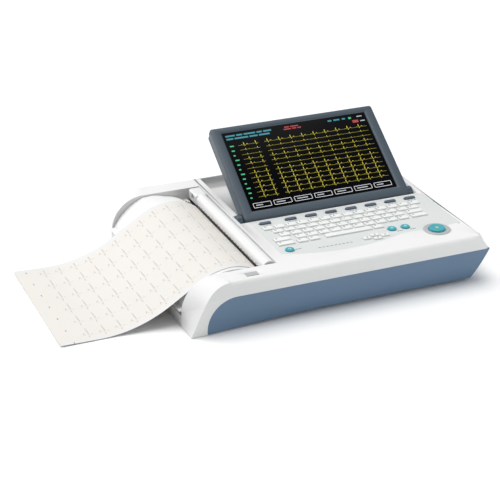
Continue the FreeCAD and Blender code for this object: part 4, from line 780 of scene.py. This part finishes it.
heading, labels, alert, buttons, bars = (bmesh.new() for _ in range(5))
for low, tall, bar_places in ((120.5, 2.6, ((4, 14), (20, 9), (31, 17), (50, 8), (60, 12))),
                              (115.5, 2.6, ((4, 10), (16, 20), (38, 12), (52, 16))),
                              (120.5, 2.4, ((158, 6), (167, 9), (180, 5)))):
    for left, length in bar_places:
        patch(heading, left, low, length, tall)
for left, low, length in ((92, 121.6, 7), (101, 121.6, 12), (90, 118.2, 11), (103, 118.2, 6),
                          (111, 118.2, 5)):
    patch(alert, left, low, length, 1.9)
patch(alert, 194, 112.6, 9, 4.4)
for index in range(len(beat_heights)):
    patch(labels, 5, rows_low + row_pitch * (index + 0.3), 3.0 + 1.4 * (index % 3), 2.0)
patch(labels, 190, 119.8, 4, 3.2)
patch(bars, 206, 113.6, 7, 1.6)
patch(bars, 203, 121.4, 8, 1.6)
for index in range(7):
    left = 5 + 30.0 * index
    patch(buttons, left, 4.0, 26, 7.6, 0.55)
    patch(bars, left + 4, 7.2, 10 + 3 * (index % 3), 1.5)
for name, shape, light, colour, strength in (
        ("screen_heading", heading, "teal_light", (0.02, 0.17, 0.21), 0.5),
        ("screen_row_marks", labels, "green_light", (0.03, 0.34, 0.14), 0.5),
        ("screen_alert_boxes", alert, "red_light", (0.28, 0.025, 0.03), 0.5),
        ("screen_buttons", buttons, "white_light", (0.62, 0.63, 0.65), 0.6),
        ("screen_bars", bars, "grey_light", (0.30, 0.31, 0.34), 0.6)):
    make(name, shape, glow(light, colour, strength), "display", sharp=60)

# Keyboard panel. A pale plastic panel with openings for the keys, let into a rebate of the deck, over a
# rubber mat that every key stands on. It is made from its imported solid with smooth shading.
film = bmesh.new()
film.from_mesh(nodes["keyboard_panel"].data)
bmesh.ops.remove_doubles(film, verts=film.verts, dist=1e-6)
pale = coated("panel_film", (0.64, 0.66, 0.65), Roughness=0.40, Mottle=0.02, Grain=1800.0, Depth=0.06)
make("keyboard_film", film, pale, "base", ["keyboard_panel"], sharp=30)
paint(rubber, "key_mat")

# Letter keys, space bar and arrows. Light moulded caps with a rounded top edge over a hidden flange that
# keeps them under the panel. Single letters, figures, arrows or dashes are printed on them in dark ink.
caps = coated("light_keys", (0.78, 0.79, 0.775), Roughness=0.40, Mottle=0.03, Grain=1600.0, Depth=0.10)
ink = coated("printed_ink", (0.045, 0.05, 0.06), Roughness=0.55, Mottle=0.2, Grain=2200.0, Depth=0.05)


def solids(name):
    """Boxes round the separate solids of a CAD piece, from left to right."""
    mesh = nodes[name].data
    keys = [tuple(round(value, 6) for value in vertex.co) for vertex in mesh.vertices]
    owner = {}

    def find(key):
        while owner.setdefault(key, key) != key:
            key = owner[key]
        return key

    for face in mesh.polygons:
        first = find(keys[face.vertices[0]])
        for index in face.vertices[1:]:
            owner[find(keys[index])] = first
    groups = {}
    for key in set(keys):
        groups.setdefault(find(key), []).append(key)
    boxes = [tuple(Vector(pick(corner[axis] for corner in group) for axis in range(3)) for pick in (min, max))
             for group in groups.values()]
    return sorted(boxes, key=lambda box: box[0].x)


def key_cap(shape, low, high, flange, corner, crown, foot=0.0004):
    """A moulded cap with a rounded top edge over a hidden flange, whose corners have the foot's radius."""
    flange_thick, draft, top_round, top_inset = 0.0012, 0.0002, 0.0007, 0.0022
    shoulder = high.z - 0.0009
    middle = (low + high) / 2
    wide, deep = high.x - low.x, high.y - low.y
    steps = [(0, low.z, foot), (0, low.z + flange_thick, foot), (flange, low.z + flange_thick, corner),
             (flange + draft, shoulder, corner)]
    for step in range(1, 5):
        turn = math.pi / 2 * step / 4
        steps.append((flange + draft + top_round * (1 - math.cos(turn)),
                      shoulder + top_round * math.sin(turn), corner))
    steps.append((flange + top_inset, high.z - 0.0002 + crown, corner))
    rings = []
    for inset, height, radius in steps:
        bound = min(wide, deep) / 2 - inset - 1e-5
        rings.append([(middle.x + x, middle.y + y, height)
                      for x, y in rounded_ring(wide - 2 * inset, deep - 2 * inset, min(radius, bound))])
    skin(shape, rings)


def print_letter(shape, text, place, size):
    """A printed letter or figure with a little thickness, its lower left corner at a place."""
    letter = bpy.data.curves.new("mark", "FONT")
    letter.body = text
    letter.size = size
    letter.extrude = 0.00004
    letter.resolution_u = 3
    holder = bpy.data.objects.new("mark", letter)
    scene.collection.objects.link(holder)
    flat = bpy.data.meshes.new_from_object(holder)
    flat.transform(Matrix.Translation(place))
    shape.from_mesh(flat)
    bpy.data.objects.remove(holder)
    bpy.data.curves.remove(letter)
    bpy.data.meshes.remove(flat)


def print_flat(shape, x, y, top, outline):
    """A flat printed sign just below the highest point of a key, from its outline about a place."""
    skin(shape, [[(x + i, y + j, top - drop) for i, j in outline] for drop in (0.00024, 0.00012)])


row_signs = {
    "number_keys": " 1234567890   ",
    "upper_letter_keys": "QWERTYUIOP   ",
    "middle_letter_keys": "ASDFGHJKL   ",
    "lower_letter_keys": " ZXCVBNM    ",
    "bottom_row_keys": "    ",
    "space_bar": " ",
    "arrow_keys": "    ",
}
letter_size, letter_in, letter_down, letter_sunk = 0.0046, 0.0024, 0.0052, 0.00018
dash_long, dash_thick, dash_in, dash_down = 0.0034, 0.0006, 0.0026, 0.0032
arrow_head = ((-0.0016, -0.0009), (0.0016, -0.0009), (0, 0.0013))
arrow_middle = spot(281, 53.5, 0)
for name, signs in row_signs.items():
    row_shape, mark_shape = bmesh.new(), bmesh.new()
    for (low, high), sign in zip(solids(name), signs):
        key_cap(row_shape, low, high, flange=0.00045, corner=0.0012, crown=0.0)
        if sign.strip():
            place = Vector((low.x + letter_in, high.y - letter_down, high.z - letter_sunk))
            print_letter(mark_shape, sign, place, letter_size)
        elif name == "arrow_keys":
            middle = (low + high) / 2
            heading_angle = math.atan2(middle.y - arrow_middle.y, middle.x - arrow_middle.x)
            turn = Matrix.Rotation(heading_angle - math.pi / 2, 2)
            print_flat(mark_shape, middle.x, middle.y, high.z, [turn @ Vector(point) for point in arrow_head])
        elif name != "space_bar":
            for shift in (0.0, 0.0016):
                print_flat(mark_shape, low.x + dash_in, high.y - dash_down - shift, high.z,
                           rectangle(0, 0, dash_long - shift, dash_thick))
    body = f"{name}_body"
    make(f"{name}_caps", row_shape, caps, body, [name], sharp=50)
    if mark_shape.faces:
        make(f"{name}_marks", mark_shape, ink, body, sharp=50)
    else:
        mark_shape.free()

# Function keys. Eight small slate-coloured caps in a row below the display, each with well rounded corners
# over the same hidden flange.
slate = coated("dark_keys", (0.075, 0.105, 0.150), Roughness=0.42, Mottle=0.06, Grain=1600.0, Depth=0.12)
for number in range(1, 9):
    name = f"function_key_{number}"
    shape = bmesh.new()
    key_cap(shape, *solids(name)[0], flange=0.0009, corner=0.0030, crown=0.0001)
    make(f"{name}_cap", shape, slate, f"{name}_body", [name], sharp=50)

# Round keys. Three teal moulded buttons with a low crown on a round foot, each with a small raised ring
# in the light plastic of the letter keys.
teal = coated("teal_keys", (0.035, 0.36, 0.42), Roughness=0.36, Mottle=0.05, Grain=1600.0, Depth=0.10)
ring_outer, ring_inner, ring_sunk, ring_proud = 0.0019, 0.0012, -0.0001, 0.00014
ring_profile = ((ring_outer, ring_sunk), (ring_outer, ring_proud), (ring_inner, ring_proud),
                (ring_inner, ring_sunk))
for name in ("patient_key", "copy_key", "mode_key"):
    low, high = solids(name)[0]
    shape = bmesh.new()
    key_cap(shape, low, high, flange=0.0009, corner=0.0062, crown=0.0002, foot=0.0075)
    make(f"{name}_cap", shape, teal, f"{name}_body", [name], sharp=50)
    sign_ring = bmesh.new()
    skin(sign_ring, [circle((low + high) / 2, radius, high.z + lift, 20) for radius, lift in ring_profile],
         ring_closes=True)
    make(f"{name}_sign", sign_ring, caps, f"{name}_body", sharp=50)

# Start key. A large dished teal button with an amber lamp in its middle, in a grey turned collar that is
# pressed into the panel.
low, high = solids("start_key")[0]
middle = (low + high) / 2
start_radius = (high.x - low.x) / 2 - 0.0009
start_profile = [(start_radius, 0.0012), (start_radius - 0.0003, 0.0005), (start_radius - 0.0010, 0.0),
                 (start_radius - 0.0026, 0.0001), (start_radius * 0.5, 0.0007), (start_radius * 0.2, 0.0008)]
start = bmesh.new()
skin(start, [circle(middle, start_radius, low.z, 64)]
     + [circle(middle, radius, high.z - drop, 64) for radius, drop in start_profile])
make("start_cap", start, teal, "start_key_body", ["start_key"], sharp=40)
lamp_dot = bmesh.new()
skin(lamp_dot, [circle(middle, radius, high.z - drop)
                for radius, drop in ((0.0024, 0.0009), (0.0024, 0.0005), (0.0015, 0.0003))])
amber = coated("lamp_amber", (0.62, 0.50, 0.10), Roughness=0.3, Mottle=0.1)
make("start_lamp", lamp_dot, amber, "start_key_body", sharp=40)
ring_low, ring_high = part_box("start_ring")
collar_radius, collar_bore = (ring_high.x - ring_low.x) / 2, start_radius + 0.0004
collar_profile = [(collar_radius, 0.0), (collar_radius - 0.0003, 0.0006), (collar_radius - 0.0012, 0.0011),
                  (collar_radius - 0.0028, 0.0012), (collar_radius - 0.0052, 0.0008), (collar_bore, 0.0004),
                  (collar_bore, 0.0)]
collar = bmesh.new()
skin(collar, [circle(middle, radius, ring_low.z + lift, 64) for radius, lift in collar_profile],
     ring_closes=True)
make("start_collar", collar, grey, "base", ["start_ring"], sharp=40)

# Print on the panel. Short dashes in dark ink below the function keys and beside the round keys, and a row
# of strokes to the left of the arrows, each a very thin bar on the panel.
panel_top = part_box("keyboard_panel")[1].z * 1000
ink_sunk, ink_proud, dash_y, dash_tall = -0.05, 0.06, 139.4, 1.0
panel_signs = bmesh.new()


def stroke(x, y, wide, tall):
    """A flat printed bar on the panel."""
    skin(panel_signs, [[spot(x + i, y + j, panel_top + lift) for i, j in rectangle(0, 0, wide, tall)]
                       for lift in (ink_sunk, ink_proud)])


for number in range(1, 9):
    low, high = solids(f"function_key_{number}")[0]
    key_x = ((low + high) / 2 - front_left).x * 1000
    for shift, length in ((-6, 4.2), (-1, 3.0), (3, 3.6)):
        stroke(key_x + shift, dash_y, length, dash_tall)
for index in range(9):
    stroke(198 + 5.6 * index, 52.4 - 0.12 * index, 3.6, 1.1)
for x, y in ((173, 59.4), (318.5, 58.2), (337, 57.4)):
    stroke(x - 4, y, 3.4, dash_tall)
    stroke(x, y, 4.2, dash_tall)
make("panel_print", panel_signs, ink, "base", sharp=50)

# Electronics and sockets. Lacquered circuit boards, the supply, the screened amplifier and the battery
# are screwed to the tub's floor; the sockets sit in flat fields at the right end and the rear.
board = coated("circuit_board", (0.018, 0.13, 0.055), Roughness=0.35, Mottle=0.2, Grain=500.0, Patches=60.0,
               Depth=0.3)
paint(board, "main_board", "display_board", "keyboard_board", "power_supply")
paint(steel, "ecg_module", "data_ports")
paint(dark, "battery_pack", "mains_inlet", "fuse_caps", "patient_socket")
paint(bronze, "earth_post")
for name in ("mains_inlet", "fuse_caps", "patient_socket", "ecg_module", "battery_pack"):
    soften(name, 0.4, 2)
